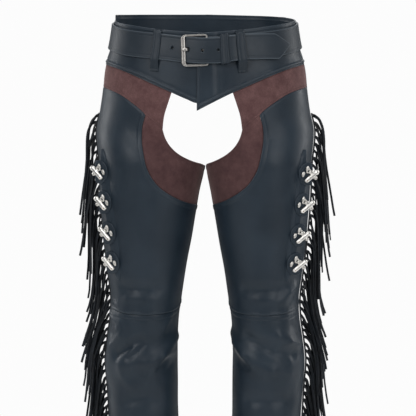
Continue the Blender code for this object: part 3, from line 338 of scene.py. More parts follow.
SIDE_UPPER = straight(SIDE_YOKE, SIDE_HIP)
SIDE_MIDDLE = straight(SIDE_HIP, SIDE_SPLIT)
SIDE_LOWER = straight(SIDE_SPLIT, SIDE_KNEE)
INNER_SUEDE = straight(INNER_CROTCH, INNER_INSET)
INNER_FRONT = straight(INNER_INSET, INNER_KNEE)
INNER_BACK = straight((-1.0, CROTCH_Z), (-1.0, INNER_KNEE[1]))
HIP_LINE = seam(HIP_EDGE, start=SIDE_HIP)
CORNER_LINE = seam(CORNER_EDGE)
YOKE_LINE = seam(tuple(reversed(YOKE_EDGE[2:])), start=SIDE_YOKE)
OPENING_TOP_LINE = seam(OPENING_TOP)
OPENING_LOW_LINE = seam(OPENING_LOW, end=INNER_CROTCH)
INSET_LINE = seam(INSET_EDGE, end=INNER_INSET)
BACK_YOKE_LINE = seam(BACK_YOKE_EDGE[:3], start=SIDE_YOKE, back=True)
SEAT_SIDE_LINE = seam(SEAT_EDGE[:5], back=True)
SEAT_LOW_LINE = seam(SEAT_EDGE[4:], end=(-1.0, CROTCH_Z), back=True)


def knee_line(table, side, shares):
    return np.stack([side * shares, curve(table, shares)], axis=1)


# Relief beside a seam: plateaus, grooves and ridges by the distance from it

def plateau(d, start, end):
    return 1 - ramp(start, end, d)


def ridge(d, middle, half):
    return np.exp(-(((d - middle) / half) ** 2))


SEAM_STYLES = {            # what the cloth does at a distance from the seam
    "band": lambda d: 0.4 * plateau(d, 9.2, 11.0) + 1.15 * ridge(d, 5.4, 1.9) - 0.9 * ridge(d, 2.4, 1.1)
    - 1.1 * ridge(d, 8.8, 1.2),
    "rim": lambda d: 0.7 * plateau(d, 7.6, 9.6) - 0.6 * ridge(d, 8.2, 1.1) - 0.35 * ridge(d, 0, 0.8),
    "tuck": lambda d: -1.25 * plateau(d, 0.0, 4.0),
    "over": lambda d: 0.35 * plateau(d, 2.8, 4.4) - 0.35 * ridge(d, 3.4, 0.9),
    "under": lambda d: -0.35 * plateau(d, 0.0, 2.4),
    "opening": lambda d: 0.3 * plateau(d, 3.2, 4.8) - 0.35 * ridge(d, 3.8, 0.9),
    "knee_over": lambda d: 0.5 * plateau(d, 3.0, 16.0) + 0.7 * ridge(d, 2.4, 2.2) - 0.4 * ridge(d, 0, 0.9),
    "knee_under": lambda d: 0.35 * ridge(d, 6.4, 2.2) - 0.8 * plateau(d, 0.0, 3.0) - 0.7 * ridge(d, 9.2, 1.3),
    "valley": lambda d: -0.6 * ridge(d, 0.0, 2.0),
    "waist": lambda d: 0.3 * plateau(d, 5.4, 7.4) - 0.35 * ridge(d, 6.4, 1.1),
    "hem": lambda d: 0.5 * plateau(d, 12.5, 15.0) - 0.4 * ridge(d, 12.6, 1.2),
    "lap": lambda d: 0.45 * plateau(d, 5.0, 7.0) - 0.8 * ridge(d, 4.2, 1.1) - 0.3 * ridge(d, 0, 0.8),
    "row": lambda d: -0.7 * ridge(d, 0.0, 1.1),
}
STITCH_ROWS = {            # distances of the stitch rows from the seam
    "band": (2.4, 8.8), "rim": (8.2,), "over": (3.4,), "opening": (3.8,), "knee_over": (5.6,),
    "knee_under": (4.0, 9.2), "waist": (6.4,), "hem": (12.6,), "lap": (4.2,), "row": (0.0,),
}
PUCKERS = ((11.0, 0.4), (17.3, 1.9), (29.0, 3.1))       # length of the ripple, where it starts


def near_line(points, line):
    """Distance from points to a polyline, and how far along it they are."""
    a, b = line[:-1], line[1:]
    run = b - a
    size = np.linalg.norm(run, axis=1)
    starts = np.concatenate([[0.0], np.cumsum(size)[:-1]])
    best, arc = np.full(len(points), 1e9), np.zeros(len(points))
    for k in range(len(a)):
        rel = points - a[k]
        t = np.clip(rel @ run[k] / max(size[k] ** 2, 1e-9), 0, 1)
        d = np.linalg.norm(rel - t[:, None] * run[k], axis=1)
        closer = d < best
        best = np.where(closer, d, best)
        arc = np.where(closer, starts[k] + t * size[k], arc)
    return best, arc


def waves(leg, turn, z):
    """Slight unevenness of the hide."""
    s = turn * TURN_MM * leg
    return (0.28 * np.sin(s / 17.0 + z / 31.0 + 0.7 * leg) + 0.24 * np.sin(s / 29.0 - z / 19.0 + 2.1)
            + 0.16 * np.sin(s / 11.0 + z / 13.0 + 4.0 * leg) * np.sin(z / 47.0))


def relief(leg, turn, z, seams):
    """Rise of a panel's face from its seams, and how much its leather is lightened there: partly wear, partly painted
    highlight.
    """
    points = bare(leg, turn, z)
    total, wear_and_highlight = np.zeros(len(points)), np.zeros(len(points))
    for style, line in seams:
        line_points = bare(leg, line[:, 0], line[:, 1])
        d, arc = near_line(points, line_points)
        total += SEAM_STYLES[style](d)
        rows = STITCH_ROWS.get(style, ())
        for row in rows:
            ripple = sum(np.sin(2 * math.pi * arc / size + start) for size, start in PUCKERS) / len(PUCKERS)
            total += 0.16 * ripple * ridge(d, row, 5.0)
        # lighter at the seam and along its stitched ridge: partly wear, partly painted highlight
        if style in ("band", "rim", "knee_over", "lap", "hem", "waist"):
            wear_and_highlight = np.maximum(wear_and_highlight, ridge(d, 0.0, 1.6))
            wear_and_highlight = np.maximum(wear_and_highlight, (0.9 if style == "band" else 0.5) * ridge(d, rows[-1] - 3.4, 1.5))
        # lighter beside a stitch row: partly wear, partly painted highlight
        if style == "row":
            wear_and_highlight = np.maximum(wear_and_highlight, 0.45 * ridge(d, 1.9, 0.9))
    return total, wear_and_highlight


# Meshes

def add_mesh(name, points, faces, look, smooth=60, attributes=None, uses=()):
    """A piece from points in millimetres. It rides on the body and stands for the nodes in uses."""
    mesh = bpy.data.meshes.new(name)
    mesh.from_pydata((np.asarray(points) * MM).tolist(), [], [list(f) for f in faces])
    body = bmesh.new()
    body.from_mesh(mesh)
    bmesh.ops.recalc_face_normals(body, faces=body.faces)
    body.to_mesh(mesh)
    body.free()
    for key, values in (attributes or {}).items():
        layer = mesh.attributes.new(key, "FLOAT", "POINT")
        layer.data.foreach_set("value", np.asarray(values, np.float32))
    mesh.materials.append(MATERIALS[look])
    mesh.shade_smooth()
    mesh.set_sharp_from_angle(angle=math.radians(smooth))
    obj = bpy.data.objects.new(name, mesh)
    bpy.context.scene.collection.objects.link(obj)
    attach(obj, BODY)
    if uses:
        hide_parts(*uses)
    return obj


def weld(grids):
    spots, faces, known = [], [], {}
    for grid in grids:
        n, m = grid.shape[:2]
        index = np.empty((n, m), int)
        for i in range(n):
            for j in range(m):
                key = (round(grid[i, j, 0], 6), round(grid[i, j, 1], 3))
                if key not in known:
                    known[key] = len(spots)
                    spots.append(grid[i, j])
                index[i, j] = known[key]
        quads = np.stack([index[:-1, :-1], index[1:, :-1], index[1:, 1:], index[:-1, 1:]], axis=-1)
        faces.append(quads.reshape(-1, 4))
    return np.array(spots), np.concatenate(faces)


def border(faces):
    """The free edges as one loop of points, with the face beside each edge."""
    edges = np.concatenate([faces[:, [k, (k + 1) % 4]] for k in range(4)])
    owner = np.tile(np.arange(len(faces)), 4)
    ordered = np.sort(edges, axis=1)
    _, index, counts = np.unique(ordered, axis=0, return_index=True, return_counts=True)
    free = index[counts == 1]
    after = {int(edges[e, 0]): (int(edges[e, 1]), int(owner[e])) for e in free}
    start = next(iter(after))
    loop, here = [], start
    while True:
        step, face = after[here]
        loop.append((here, step, face))
        here = step
        if here == start:
            return loop


def pulled(points, faces, loop, amount):
    """The border's points moved in along the face."""
    pulls = {}
    for a, b, face in loop:
        edge = unit(points[b] - points[a])
        inward = points[faces[face]].mean(axis=0) - points[a]
        inward = unit(inward - edge * (inward @ edge))
        for k in (a, b):
            pulls.setdefault(k, []).append(inward)
    moved = points.copy()
    for k, (one, two) in pulls.items():
        moved[k] += (one + two) / max(1 + one @ two, 0.4) * amount
    return moved


PANELS = {}
SHEETS = {                 # the cut of what shows: width, length, area in square metres, what carries it
    "yoke_front_left": (253, 130, 0.0207, "belt"), "yoke_front_right": (263, 118, 0.0218, "belt"),
    "yoke_back": (481, 134, 0.0461, "belt"),
    "hip_inset": (187, 66, 0.0077, "yoke_front"), "thigh_inset": (76, 264, 0.0123, "hip_inset"),
    "thigh_front": (290, 394, 0.0771, "hip_inset"), "thigh_back": (305, 446, 0.0890, "yoke_back"),
    "shin_front": (238, 548, 0.1193, "thigh_front"), "shin_back": (249, 558, 0.1285, "thigh_back"),
    "concho_flap": (32, 240, 0.0053, "thigh_front"),
}


def declare_sheet(name):
    """Looks up a panel's cut and the piece it is sewn to; nothing is done with them."""
    kind, _, word = name.rpartition("_")
    wide, long, area, above = SHEETS.get(name) or SHEETS[kind]
    above = above if above in ("belt", "yoke_back") else above + "_" + word


def panel(name, leg, grids, seams, look="leather", extra=None, round_mm=0.45):
    """A panel as a thin closed shell with rounded edges."""
    rise, thick = (LEATHER_RISE, WALL) if look == "leather" else (0.0, SUEDE_WALL)
    spots, faces = weld(grids)
    turn, z = spots[:, 0], spots[:, 1]
    more = extra(bare(leg, turn, z)[:, 0]) if extra else 0.0
    bumps, wear_and_highlight = relief(leg, turn, z, seams)
    lift = rise + more + bumps + (waves(leg, turn, z) if look == "leather" else 0.0)
    loop = border(faces)
    outer = surface(leg, turn, z, lift)
    inner = surface(leg, turn, z, lift - thick)
    middle = (outer + inner) / 2
    outer = pulled(outer, faces, loop, SEAM_GAP / 2 + round_mm)
    inner = pulled(inner, faces, loop, SEAM_GAP / 2 + round_mm)
    middle = pulled(middle, faces, loop, 0.02 if look == "leather" else -0.4)
    count = len(spots)
    rim = {a: 2 * count + k for k, (a, _, _) in enumerate(loop)}
    points = np.vstack([outer, inner, middle[[a for a, _, _ in loop]]])
    quads = faces.tolist() + (faces[:, ::-1] + count).tolist()
    for a, b, _ in loop:
        quads += [[b, a, rim[a], rim[b]], [rim[b], rim[a], a + count, b + count]]
    # the shell's rims are lightened all round: partly edge wear, partly painted highlight
    worn_and_highlit = np.concatenate([wear_and_highlight, wear_and_highlight * 0, np.ones(len(loop))])
    obj = add_mesh(name + "_cloth", points, quads, look, attributes={"wear_and_highlight": worn_and_highlit}, uses=(name,))
    PANELS[name] = {"leg": leg, "seams": seams, "rise": rise, "extra": extra, "obj": obj, "look": look,
                    "outline": spots[[a for a, _, _ in loop]]}
    declare_sheet(name)
    return obj


# Panels

def lap_rise(x):
    return 2.4 * (1 - ramp(14.0, 34.0, x))


def waist_top(turn):
    return curve(WAIST_TOP, np.abs(1 - turn))


def under_waist(name, leg, bottom, seams, extra=None):
    turn = bottom[:, 0]
    v = spread(100)
    z = waist_top(turn)[:, None] * (1 - v) + bottom[:, 1][:, None] * v
    grid = np.stack([np.broadcast_to(turn[:, None], z.shape), z], axis=-1)
    top = np.stack([turn, waist_top(turn)], axis=1)
    panel(name, leg, [grid], [("waist", top), *seams(top, bottom)], extra=extra)


def lapped_edge(table, end_x):
    x = 51.5 + (end_x - 51.5) * spread(58, fine_start=False)[1:]
    z = curve(table, x)
    return np.stack([turn_at(x, z), z], axis=1)


def build_yoke():
    side = along(YOKE_LINE, spread(150, fine_end=False))
    left = np.vstack([side, lapped_edge(YOKE_EDGE, -8.7)])
    rows = []
    for x in (21.0, 25.5):
        z = np.linspace(44, float(curve(YOKE_EDGE, x)) + 11.5, 40)
        rows.append(("row", np.stack([turn_at(np.full(40, x), z), z], axis=1)))
    under_waist("yoke_front_left", 1, left,
                lambda top, low: [("band", low), ("lap", straight(top[-1], low[-1], 30)),
                                  ("valley", straight(top[0], low[0])), *rows], extra=lap_rise)
    right = np.vstack([side, lapped_edge(UNDERLAP_EDGE, -21)])
    under_waist("yoke_front_right", -1, right,
                lambda top, low: [("band", low), ("valley", straight(top[0], low[0]))])
    half = along(BACK_YOKE_LINE, spread(100, fine_end=False))
    quarter = half[-1, 0]
    turns = quarter + (-2 - 2 * quarter) * np.linspace(0, 1, 60)[1:-1]
    middle = np.stack([turns, curve(BACK_YOKE_EDGE, np.abs(bare(1, turns, np.full(58, -60.0))[:, 0]))], axis=1)
    other = np.stack([-2 - half[::-1, 0], half[::-1, 1]], axis=1)
    under_waist("yoke_back", 1, np.vstack([half, middle, other]),
                lambda top, low: [("band", low), ("valley", straight(top[0], low[0])),
                                  ("valley", straight(top[-1], low[-1]))])


def build_insets(leg, word):
    u = np.concatenate([0.75 * spread(110), 0.75 + 0.25 * spread(40, False, True)[1:]])
    low = np.vstack([along(HIP_LINE, spread(110)), along(CORNER_LINE, spread(40, False, True))[1:]])
    v = spread(60)
    hip = patch(along(YOKE_LINE, u), low, along(SIDE_UPPER, v), along(OPENING_TOP_LINE, v), u, v)
    panel("hip_inset_" + word, leg, [hip],
          [("under", YOKE_LINE), ("over", HIP_LINE), ("over", CORNER_LINE), ("opening", OPENING_TOP_LINE)], "suede")
    u, v = spread(50), spread(190)
    thigh = patch(along(CORNER_LINE, u), along(INNER_SUEDE[::-1], u), along(INSET_LINE, v),
                  along(OPENING_LOW_LINE, v), u, v)
    panel("thigh_inset_" + word, leg, [thigh],
          [("under", CORNER_LINE), ("under", INSET_LINE), ("opening", OPENING_LOW_LINE)], "suede")


def build_thigh(leg, word):
    u, v = spread(165), spread(115, True, False)
    across = along(straight(SIDE_SPLIT, along(INSET_LINE, np.array([INSET_SPLIT]))[0]), u)
    upper = patch(along(HIP_LINE, u), across, along(SIDE_MIDDLE, v), along(INSET_LINE, v * INSET_SPLIT), u, v)
    rest = spread(110, False, True)[1:]
    top = np.vstack([across, along(INSET_LINE, INSET_SPLIT + (1 - INSET_SPLIT) * rest)])
    u, v = np.concatenate([0.6 * u, 0.6 + 0.4 * rest]), spread(225)
    lower = patch(top, knee_line(KNEE_FRONT, 1, u), along(SIDE_LOWER, v), along(INNER_FRONT, v), u, v)
    panel("thigh_front_" + word, leg, [upper, lower],
          [("tuck", HIP_LINE), ("rim", INSET_LINE), ("valley", straight(SIDE_HIP, SIDE_KNEE)),
           ("valley", INNER_FRONT), ("knee_over", knee_line(KNEE_FRONT, 1, np.linspace(0, 1, 60)))])

    u = spread(135)
    v = np.concatenate([3 / 8 * spread(40, True, False), 3 / 8 + 5 / 8 * spread(150, False, False)[1:]])
    across = along(straight(SIDE_SPLIT, SEAT_SIDE_LINE[-1]), u)
    side = np.vstack([along(SIDE_UPPER, spread(40, True, False)), along(SIDE_MIDDLE, spread(150, False, False))[1:]])
    upper = patch(along(BACK_YOKE_LINE, u), across, side, along(SEAT_SIDE_LINE, v), u, v)
    rest = spread(90, False, True)[1:]
    top = np.vstack([across, along(SEAT_LOW_LINE, rest)])
    u, v = np.concatenate([9 / 14 * u, 9 / 14 + 5 / 14 * rest]), spread(235)
    lower = patch(top, knee_line(KNEE_BACK, -1, u), along(SIDE_LOWER, v), along(INNER_BACK, v), u, v)
    panel("thigh_back_" + word, leg, [upper, lower],
          [("under", BACK_YOKE_LINE), ("rim", np.vstack([SEAT_SIDE_LINE, SEAT_LOW_LINE[1:]])),
           ("valley", straight(SIDE_YOKE, SIDE_KNEE)), ("valley", INNER_BACK),
           ("knee_over", knee_line(KNEE_BACK, -1, np.linspace(0, 1, 60)))])


def build_shin(leg, word):
    for name, table, side in (("shin_front_", KNEE_FRONT, 1), ("shin_back_", KNEE_BACK, -1)):
        u, v = spread(205), spread(545)
        top, hem = knee_line(table, side, u), np.stack([side * u, np.full(len(u), HEM_Z)], axis=1)
        left, right = straight(top[0], hem[0]), straight(top[-1], hem[-1])
        down = patch(top, hem, along(left, v), along(right, v), u, v)
        panel(name + word, leg, [down], [("knee_under", top), ("hem", hem), ("valley", left), ("valley", right)])


# Stitches

def inside(polygon, points):
    """Which points lie inside a closed outline."""
    x, y = points[:, 0:1], points[:, 1:2]
    x0, y0 = polygon[:, 0], polygon[:, 1]
    x1, y1 = np.roll(x0, -1), np.roll(y0, -1)
    crosses = (y0 > y) != (y1 > y)
    rise = np.where(np.abs(y1 - y0) < 1e-12, 1e-12, y1 - y0)
    return (crosses & (x < (x1 - x0) * (y - y0) / rise + x0)).sum(axis=1) % 2 == 1


def shifted(leg, line, amount):
    """A line of (turn, height) moved sideways over the surface."""
    turn, z = line[:, 0], line[:, 1]
    per_turn = (bare(leg, turn + 0.002, z) - bare(leg, turn - 0.002, z)) / 0.004
    per_z = (bare(leg, turn, z + 0.5) - bare(leg, turn, z - 0.5))
    tangent = unit(np.gradient(bare(leg, turn, z), axis=0))
    want = unit(np.cross(tangent, outward(leg, turn, z))) * amount
    tt, tz, zz = (np.einsum("ij,ij->i", a, b) for a, b in ((per_turn, per_turn), (per_turn, per_z), (per_z, per_z)))
    wt, wz = (np.einsum("ij,ij->i", a, want) for a in (per_turn, per_z))
    det = tt * zz - tz * tz
    return np.stack([turn + (wt * zz - wz * tz) / det, z + (wz * tt - wt * tz) / det], axis=1)


def stitch_rows(pitch, name):
    """Middles, directions and normals of a panel's stitches."""
    info = PANELS[name]
    leg, outline = info["leg"], info["outline"]
    rows = []
    for style, line in info["seams"]:
        fine = along(line, np.linspace(0, 1, 160))
        for distance in STITCH_ROWS.get(style, ()):
            sides = [shifted(leg, fine, sign * max(distance, 0.01)) for sign in (-1, 1)]
            row = max(sides, key=lambda side: inside(outline, side).sum())
            points = bare(leg, row[:, 0], row[:, 1])
            arc = np.concatenate([[0], np.cumsum(np.linalg.norm(np.diff(points, axis=0), axis=1))])
            want = np.arange(pitch / 2, arc[-1], pitch)
            spots = np.stack([np.interp(want, arc, row[:, c]) for c in (0, 1)], axis=1)
            keep = inside(outline, spots)
            here = bare(leg, spots[:, 0], spots[:, 1])
            for other_style, other in info["seams"]:
                d, _ = near_line(here, bare(leg, other[:, 0], other[:, 1]))
                keep &= d > (distance * 0.9 if other is line else 1.2)
            if keep.any():
                rows.append(spots[keep])
    return rows


def stitches(name, panels, look, pitch=3.3, length=2.5, radius=0.34):
    """Rows of thread as one piece."""
    points, faces = [], []
    for panel_name in panels:
        info = PANELS[panel_name]
        leg = info["leg"]
        for spots in stitch_rows(pitch, panel_name):
            turn, z = spots[:, 0], spots[:, 1]
            more = info["extra"](bare(leg, turn, z)[:, 0]) if info["extra"] else 0.0
            lift = info["rise"] + more + relief(leg, turn, z, info["seams"])[0]
            lift = lift + (waves(leg, turn, z) if info["look"] == "leather" else 0.0)
            middle = surface(leg, turn, z, lift + 0.12)
            normal = outward(leg, turn, z)
            run = unit(np.gradient(middle, axis=0)) if len(middle) > 1 else unit(np.cross(normal, (0, 0, 1.0)))
            across = unit(np.cross(run, normal))
            for k in range(len(middle)):
                first = len(points)
                points.append(middle[k] - run[k] * length / 2 - normal[k] * 0.25)
                for t in (-0.3, 0.3):
                    for corner in range(5):
                        a = 2 * math.pi * corner / 5
                        points.append(middle[k] + run[k] * length * t + across[k] * radius * math.cos(a)
                                      + normal[k] * radius * 0.8 * math.sin(a))
                points.append(middle[k] + run[k] * length / 2 - normal[k] * 0.25)
                for c in range(5):
                    n = (c + 1) % 5
                    faces += [(first, first + 1 + n, first + 1 + c), (first + 6 + c, first + 6 + n, first + 11),
                              (first + 1 + c, first + 1 + n, first + 6 + n, first + 6 + c)]
    return add_mesh(name, points, faces, look)


# Belt, loops and buckle

def quarter_at(x):
    low, high = np.full(np.shape(x), -1.0), np.full(np.shape(x), 1.0)
    for _ in range(40):
        middle = (low + high) / 2
        short = hip_point(middle, np.zeros(np.shape(x)))[..., 0] < x
        low, high = np.where(short, middle, low), np.where(short, high, middle)
    return low


def at_belt(quarter, v, rise, sag=1.0):
    quarter, v, rise = np.broadcast_arrays(*(np.asarray(a, float) for a in (quarter, v, rise)))
    near = np.abs((quarter + 2) % 4 - 2)
    low = curve(BELT_SAG, hip_point(quarter, np.zeros(quarter.shape))[..., 0]) * sag
    return surface(1, 1 - quarter, curve(BELT_MIDDLE, near) + np.where(near < 1, low, 0.0) + v, rise)


def in_front(x, v, rise):
    """A point at x, v over the height of the buckle's origin and rise over the suede's level."""
    x, v, rise = np.broadcast_arrays(*(np.asarray(a, float) for a in (x, v, rise)))
    turn = turn_at(np.abs(x), v)
    return surface(1, np.where(x > 0, turn, 2 - turn), v, rise)


def belt_low(x):
    return curve(LOW_RISE, x) + BELT_THICK / 2


def belt_top(x):
    return curve(TOP_RISE, x) + BELT_THICK / 2


def loft(rings, closed=False):
    """Faces and points of a bar through rings of equal count, capped unless closed on itself."""
    rings = np.asarray(rings)
    count, size = rings.shape[:2]
    faces = []
    for r in range(count if closed else count - 1):
        a, b = r * size, (r + 1) % count * size
        faces += [(a + k, a + (k + 1) % size, b + (k + 1) % size, b + k) for k in range(size)]
    if not closed:
        faces += [tuple(range(size)), tuple((count - 1) * size + k for k in range(size))]
    return rings.reshape(-1, 3), faces


BELT_PROFILE = ((0.0, -1.4), (0.12, -0.7), (0.5, -0.22), (1.1, -0.02), (2.0, 0.04), (4.3, 0.04), (4.8, -0.06),
                (5.3, -0.2), (5.8, -0.06), (6.3, 0.02), (9.0, 0.06), (13.0, 0.12), (17.0, 0.16), (21.5, 0.18))


def belt_section(half, middle_v):
    """The belt's section from its lower edge round: v, and rise over or under its middle."""
    share = half / BELT_HALF
    low = [(-half + d * share, h) for d, h in BELT_PROFILE]
    face = low + [(-v, h) for v, h in reversed(low[:-1])]
    ring = [(v + middle_v, BELT_THICK / 2 + h) for v, h in face]
    return np.array(ring + [(v + middle_v, -BELT_THICK / 2 - h * 0.8 * (abs(abs(v) - half) < 2)) for v, h in face[::-1]])


def build_belt():
    front = np.arange(BELT_TIP_X, BELT_AROUND_X, -2.1)
    first, last = quarter_at(np.array(BELT_AROUND_X)), quarter_at(np.array(BELT_TIP_X)) - 4
    round_back = first + (last - first) * np.linspace(0, 1, BELT_AROUND_STEPS)
    under = np.linspace(BELT_TIP_X, BUCKLE_RIGHT + BAR_HALF[2] + 0.4, 50)[1:]
    quarters = np.concatenate([quarter_at(front), round_back, quarter_at(under) - 4])
    middles = np.concatenate([belt_top(front), np.full(BELT_AROUND_STEPS, float(belt_low(BELT_TIP_X))), belt_low(under)])
    x = np.concatenate([front, np.zeros(BELT_AROUND_STEPS + len(under))])
    sags = np.concatenate([np.ones(len(front) + BELT_AROUND_STEPS), np.full(len(under), UNDER_SAG)])
    rings, worn_and_highlit = [], []
    for quarter, middle, station, sag in zip(quarters, middles, x, sags):
        t = np.clip((station - BELT_TIP_BASE_X) / (BELT_TIP_X - BELT_TIP_BASE_X), 0, 1)
        half = BELT_HALF + (BELT_TIP_HALF - BELT_HALF) * t ** 1.15
        drop = float(curve(TIP_DROP, station))
        section = belt_section(half, drop)
        rings.append(at_belt(quarter, section[:, 0], middle + section[:, 1], sag))
        # painted highlight: both edges of the strap are lightened, less on the part round the back
        worn_and_highlit.append((np.abs(section[:, 0] - drop) > half - 1.3) * (1.0 if station else 0.7))
    points, faces = loft(rings)
    belt = add_mesh("belt_strap", points, faces, "leather_belt", smooth=50, uses=("belt",),
                    attributes={"wear_and_highlight": np.concatenate(worn_and_highlit)})
    points, faces = [], []
    for hole in HOLES:
        sizes = PRONG_HOLE if hole == HOLES[1] else (HOLE_R, HOLE_R)
        angles = np.linspace(0, 2 * math.pi, 24, endpoint=False)
        top = float(belt_top(hole))
        pair = [at_belt(quarter_at(hole + sizes[0] * np.cos(angles)), sizes[1] * np.sin(angles), top + level)
                for level in (-BELT_THICK / 2 - 0.15, BELT_THICK / 2 + 2)]
        more, cap = loft(pair)
        faces += [tuple(len(points) + k for k in face) for face in cap]
        points += list(more)
    cutter = add_mesh("belt_holes", points, faces, "leather_belt")
    cut = belt.modifiers.new("holes", "BOOLEAN")
    cut.object, cut.solver, cut.operation = cutter, "EXACT", "DIFFERENCE"
    made = bpy.data.meshes.new_from_object(belt.evaluated_get(bpy.context.evaluated_depsgraph_get()))
    belt.modifiers.clear()
    belt.data = made
    bpy.data.objects.remove(cutter)


BAR_SECTION = ((1.0, 0.0), (0.97, 0.5), (0.85, 0.86), (0.62, 1.0), (0.34, 0.95), (0.0, 0.9), (-0.34, 0.95),
               (-0.62, 1.0), (-0.85, 0.86), (-0.97, 0.5), (-1.0, 0.0), (-0.95, -0.6), (-0.6, -1.0), (0.0, -1.0),
               (0.6, -1.0), (0.95, -0.6))
GROOVE = {4: 0.35, 5: 0.55, 6: 0.35}                     # how deep the wide bar is hollowed there


def build_buckle():
    half_x, middle_x = (BUCKLE_RIGHT - BUCKLE_LEFT) / 2, (BUCKLE_RIGHT + BUCKLE_LEFT) / 2
    arcs = []
    for corner, (sign_x, sign_v) in enumerate(((1, 1), (-1, 1), (-1, -1), (1, -1))):
        radius = BUCKLE_CORNERS[0] if sign_x > 0 else BUCKLE_CORNERS[1]
        angles = np.radians(90 * corner + np.linspace(0, 90, 10))
        arcs.append(np.stack([sign_x * (half_x - radius) + radius * np.cos(angles),
                              sign_v * (BUCKLE_HALF - radius) + radius * np.sin(angles), angles], axis=1))
    path = []
    for corner, arc in enumerate(arcs):
        path += list(arc)
        step = (arcs[(corner + 1) % 4][0, :2] - arc[-1, :2]) / 10
        path += [np.append(arc[-1, :2] + step * k, arc[-1, 2]) for k in range(1, 10)]
    lean = math.radians(BUCKLE_TURN)
    section, rings, grooves = np.array(BAR_SECTION), [], []
    for x, v, angle in path:
        side = math.cos(angle)
        wide = BAR_HALF[2] if side > 0 else BAR_HALF[0]
        half = BAR_HALF[1] + (wide - BAR_HALF[1]) * side * side
        share = (x + half_x) / (2 * half_x)
        rise = BUCKLE_RISE[0] + (BUCKLE_RISE[1] - BUCKLE_RISE[0]) * share
        hollow = np.array([GROOVE.get(k, 0.0) for k in range(len(section))]) * (side * side if side < 0 else 0.0)
        across, up = x + half * section[:, 0] * side, v + half * section[:, 0] * math.sin(angle)
        rings.append(in_front(middle_x + across * math.cos(lean) - up * math.sin(lean),
                              BUCKLE_MIDDLE_V + across * math.sin(lean) + up * math.cos(lean),
                              rise + BAR_DEPTH * (section[:, 1] - hollow)))
        grooves.append(hollow / max(GROOVE.values()))
    points, faces = loft(rings, closed=True)
    add_mesh("buckle_frame_metal", points, faces, "buckle", uses=("buckle_frame",),
             attributes={"recess": np.concatenate(grooves)})
    rings = []
    c, s = squared(np.linspace(0, 2 * math.pi, 14, endpoint=False), 2.6)
    route = rounded_line(PRONG_PATH, 5)
    for k, (x, rise) in enumerate(route):
        left = len(route) - 1 - k
        narrow = (0.45, 0.8, 0.95)[left] if left < 3 else 1.0
        rings.append(in_front(x, PRONG_V + PRONG_HALF[0] * narrow * c, rise + PRONG_HALF[1] * narrow * s))
    points, faces = loft(rings)
    add_mesh("buckle_prong_metal", points, faces, "buckle", uses=("buckle_prong",))


KEEPER_ACROSS = ((0.0, 0.15), (0.04, 0.85), (0.1, 1.1), (0.22, 1.2), (0.34, 1.0), (0.44, 0.6), (0.5, 0.5),
                 (0.56, 0.6), (0.66, 1.0), (0.78, 1.2), (0.9, 1.1), (0.96, 0.85), (1.0, 0.15))


def build_keeper():
    near, far = KEEPER_X
    back = float(belt_low(near)) - BELT_THICK / 2 - 0.6
    front = float(belt_top(near)) + BELT_THICK / 2 + 0.5
    raised = max(float(curve(BELT_SAG, x)) * (UNDER_SAG - 1) for x in KEEPER_X)
    high, low = BELT_HALF + raised + 0.5, -BELT_HALF - 0.8
    corners = ((high, front, 0), (low, front, 90), (low, back, 180), (high, back, 270))
    route = []
    for k, (v, rise, degrees) in enumerate(corners):
        route += [(v, rise, math.radians(degrees + 15 * step)) for step in range(7)]
        next_v = corners[(k + 1) % 4][0]
        if next_v != v:
            route += [(v + (next_v - v) * step / 8, rise, route[-1][2]) for step in range(1, 8)]
    rings = []
    for v, rise, angle in route:
        ring = [(near + (far - near) * t, v + KEEPER_THICK * h * math.cos(angle),
                 rise + KEEPER_THICK * h * math.sin(angle)) for t, h in KEEPER_ACROSS]
        ring += [(near + (far - near) * t, v, rise) for t in (0.98, 0.5, 0.02)]
        ring = np.array(ring)
        rings.append(at_belt(quarter_at(ring[:, 0]), ring[:, 1], ring[:, 2]))
    points, faces = loft(rings, closed=True)
    add_mesh("belt_keeper_band", points, faces, "leather_belt", uses=("belt_keeper",))


LOOP_ACROSS = ((-1.0, 0.1), (-0.97, 0.7), (-0.88, 1.0), (-0.74, 1.1), (-0.62, 1.02), (-0.54, 0.86), (-0.44, 1.0),
               (-0.2, 1.12), (0.0, 1.14), (0.2, 1.12), (0.44, 1.0), (0.54, 0.86), (0.62, 1.02), (0.74, 1.1),
               (0.88, 1.0), (0.97, 0.7), (1.0, 0.1))


def build_loop(name, quarter, belt_face):
    low, high = -BELT_HALF - LOOP_SLACK[0], BELT_HALF + LOOP_SLACK[1]
    waist = float(curve(WAIST_TOP, abs(quarter)) - curve(BELT_MIDDLE, abs(quarter))) - 0.6
    top = min(LOOP_ENDS[1], waist)
    profile = [(LOOP_ENDS[0], LOOP_SEWN), (low - 12.5, LOOP_SEWN + 0.3), (low - 6, 0.5 * (LOOP_SEWN + belt_face)),
               (low + 0.5, belt_face), (-12, belt_face + 0.4), (12, belt_face + 0.4), (high, belt_face)]
    profile += [(v, rise) for v, rise in ((high + 1.2, 0.7 * belt_face), (high + 4, LOOP_SEWN), (top, LOOP_SEWN)) if v <= top]
    rings = []
    across = np.array(LOOP_ACROSS)
    for v, rise in rounded_line(profile, 6):
        sewn = math.exp(-(((v - low + 13.5) / 1.1) ** 2))
        outer = at_belt(quarter + across[:, 0] * LOOP_HALF / QUARTER_MM, v * (1 + 0.012 * LOOP_THICK),
                        rise + LOOP_THICK * across[:, 1] * (1 - 0.35 * sewn - 0.5 * (v == LOOP_ENDS[0])))
        inner = at_belt(quarter + np.array((0.97, 0.0, -0.97)) * LOOP_HALF / QUARTER_MM, v, rise)
        rings.append(np.vstack([outer, inner]))
    points, faces = loft(rings)
    add_mesh(name + "_strap", points, faces, "leather_belt", uses=(name,))


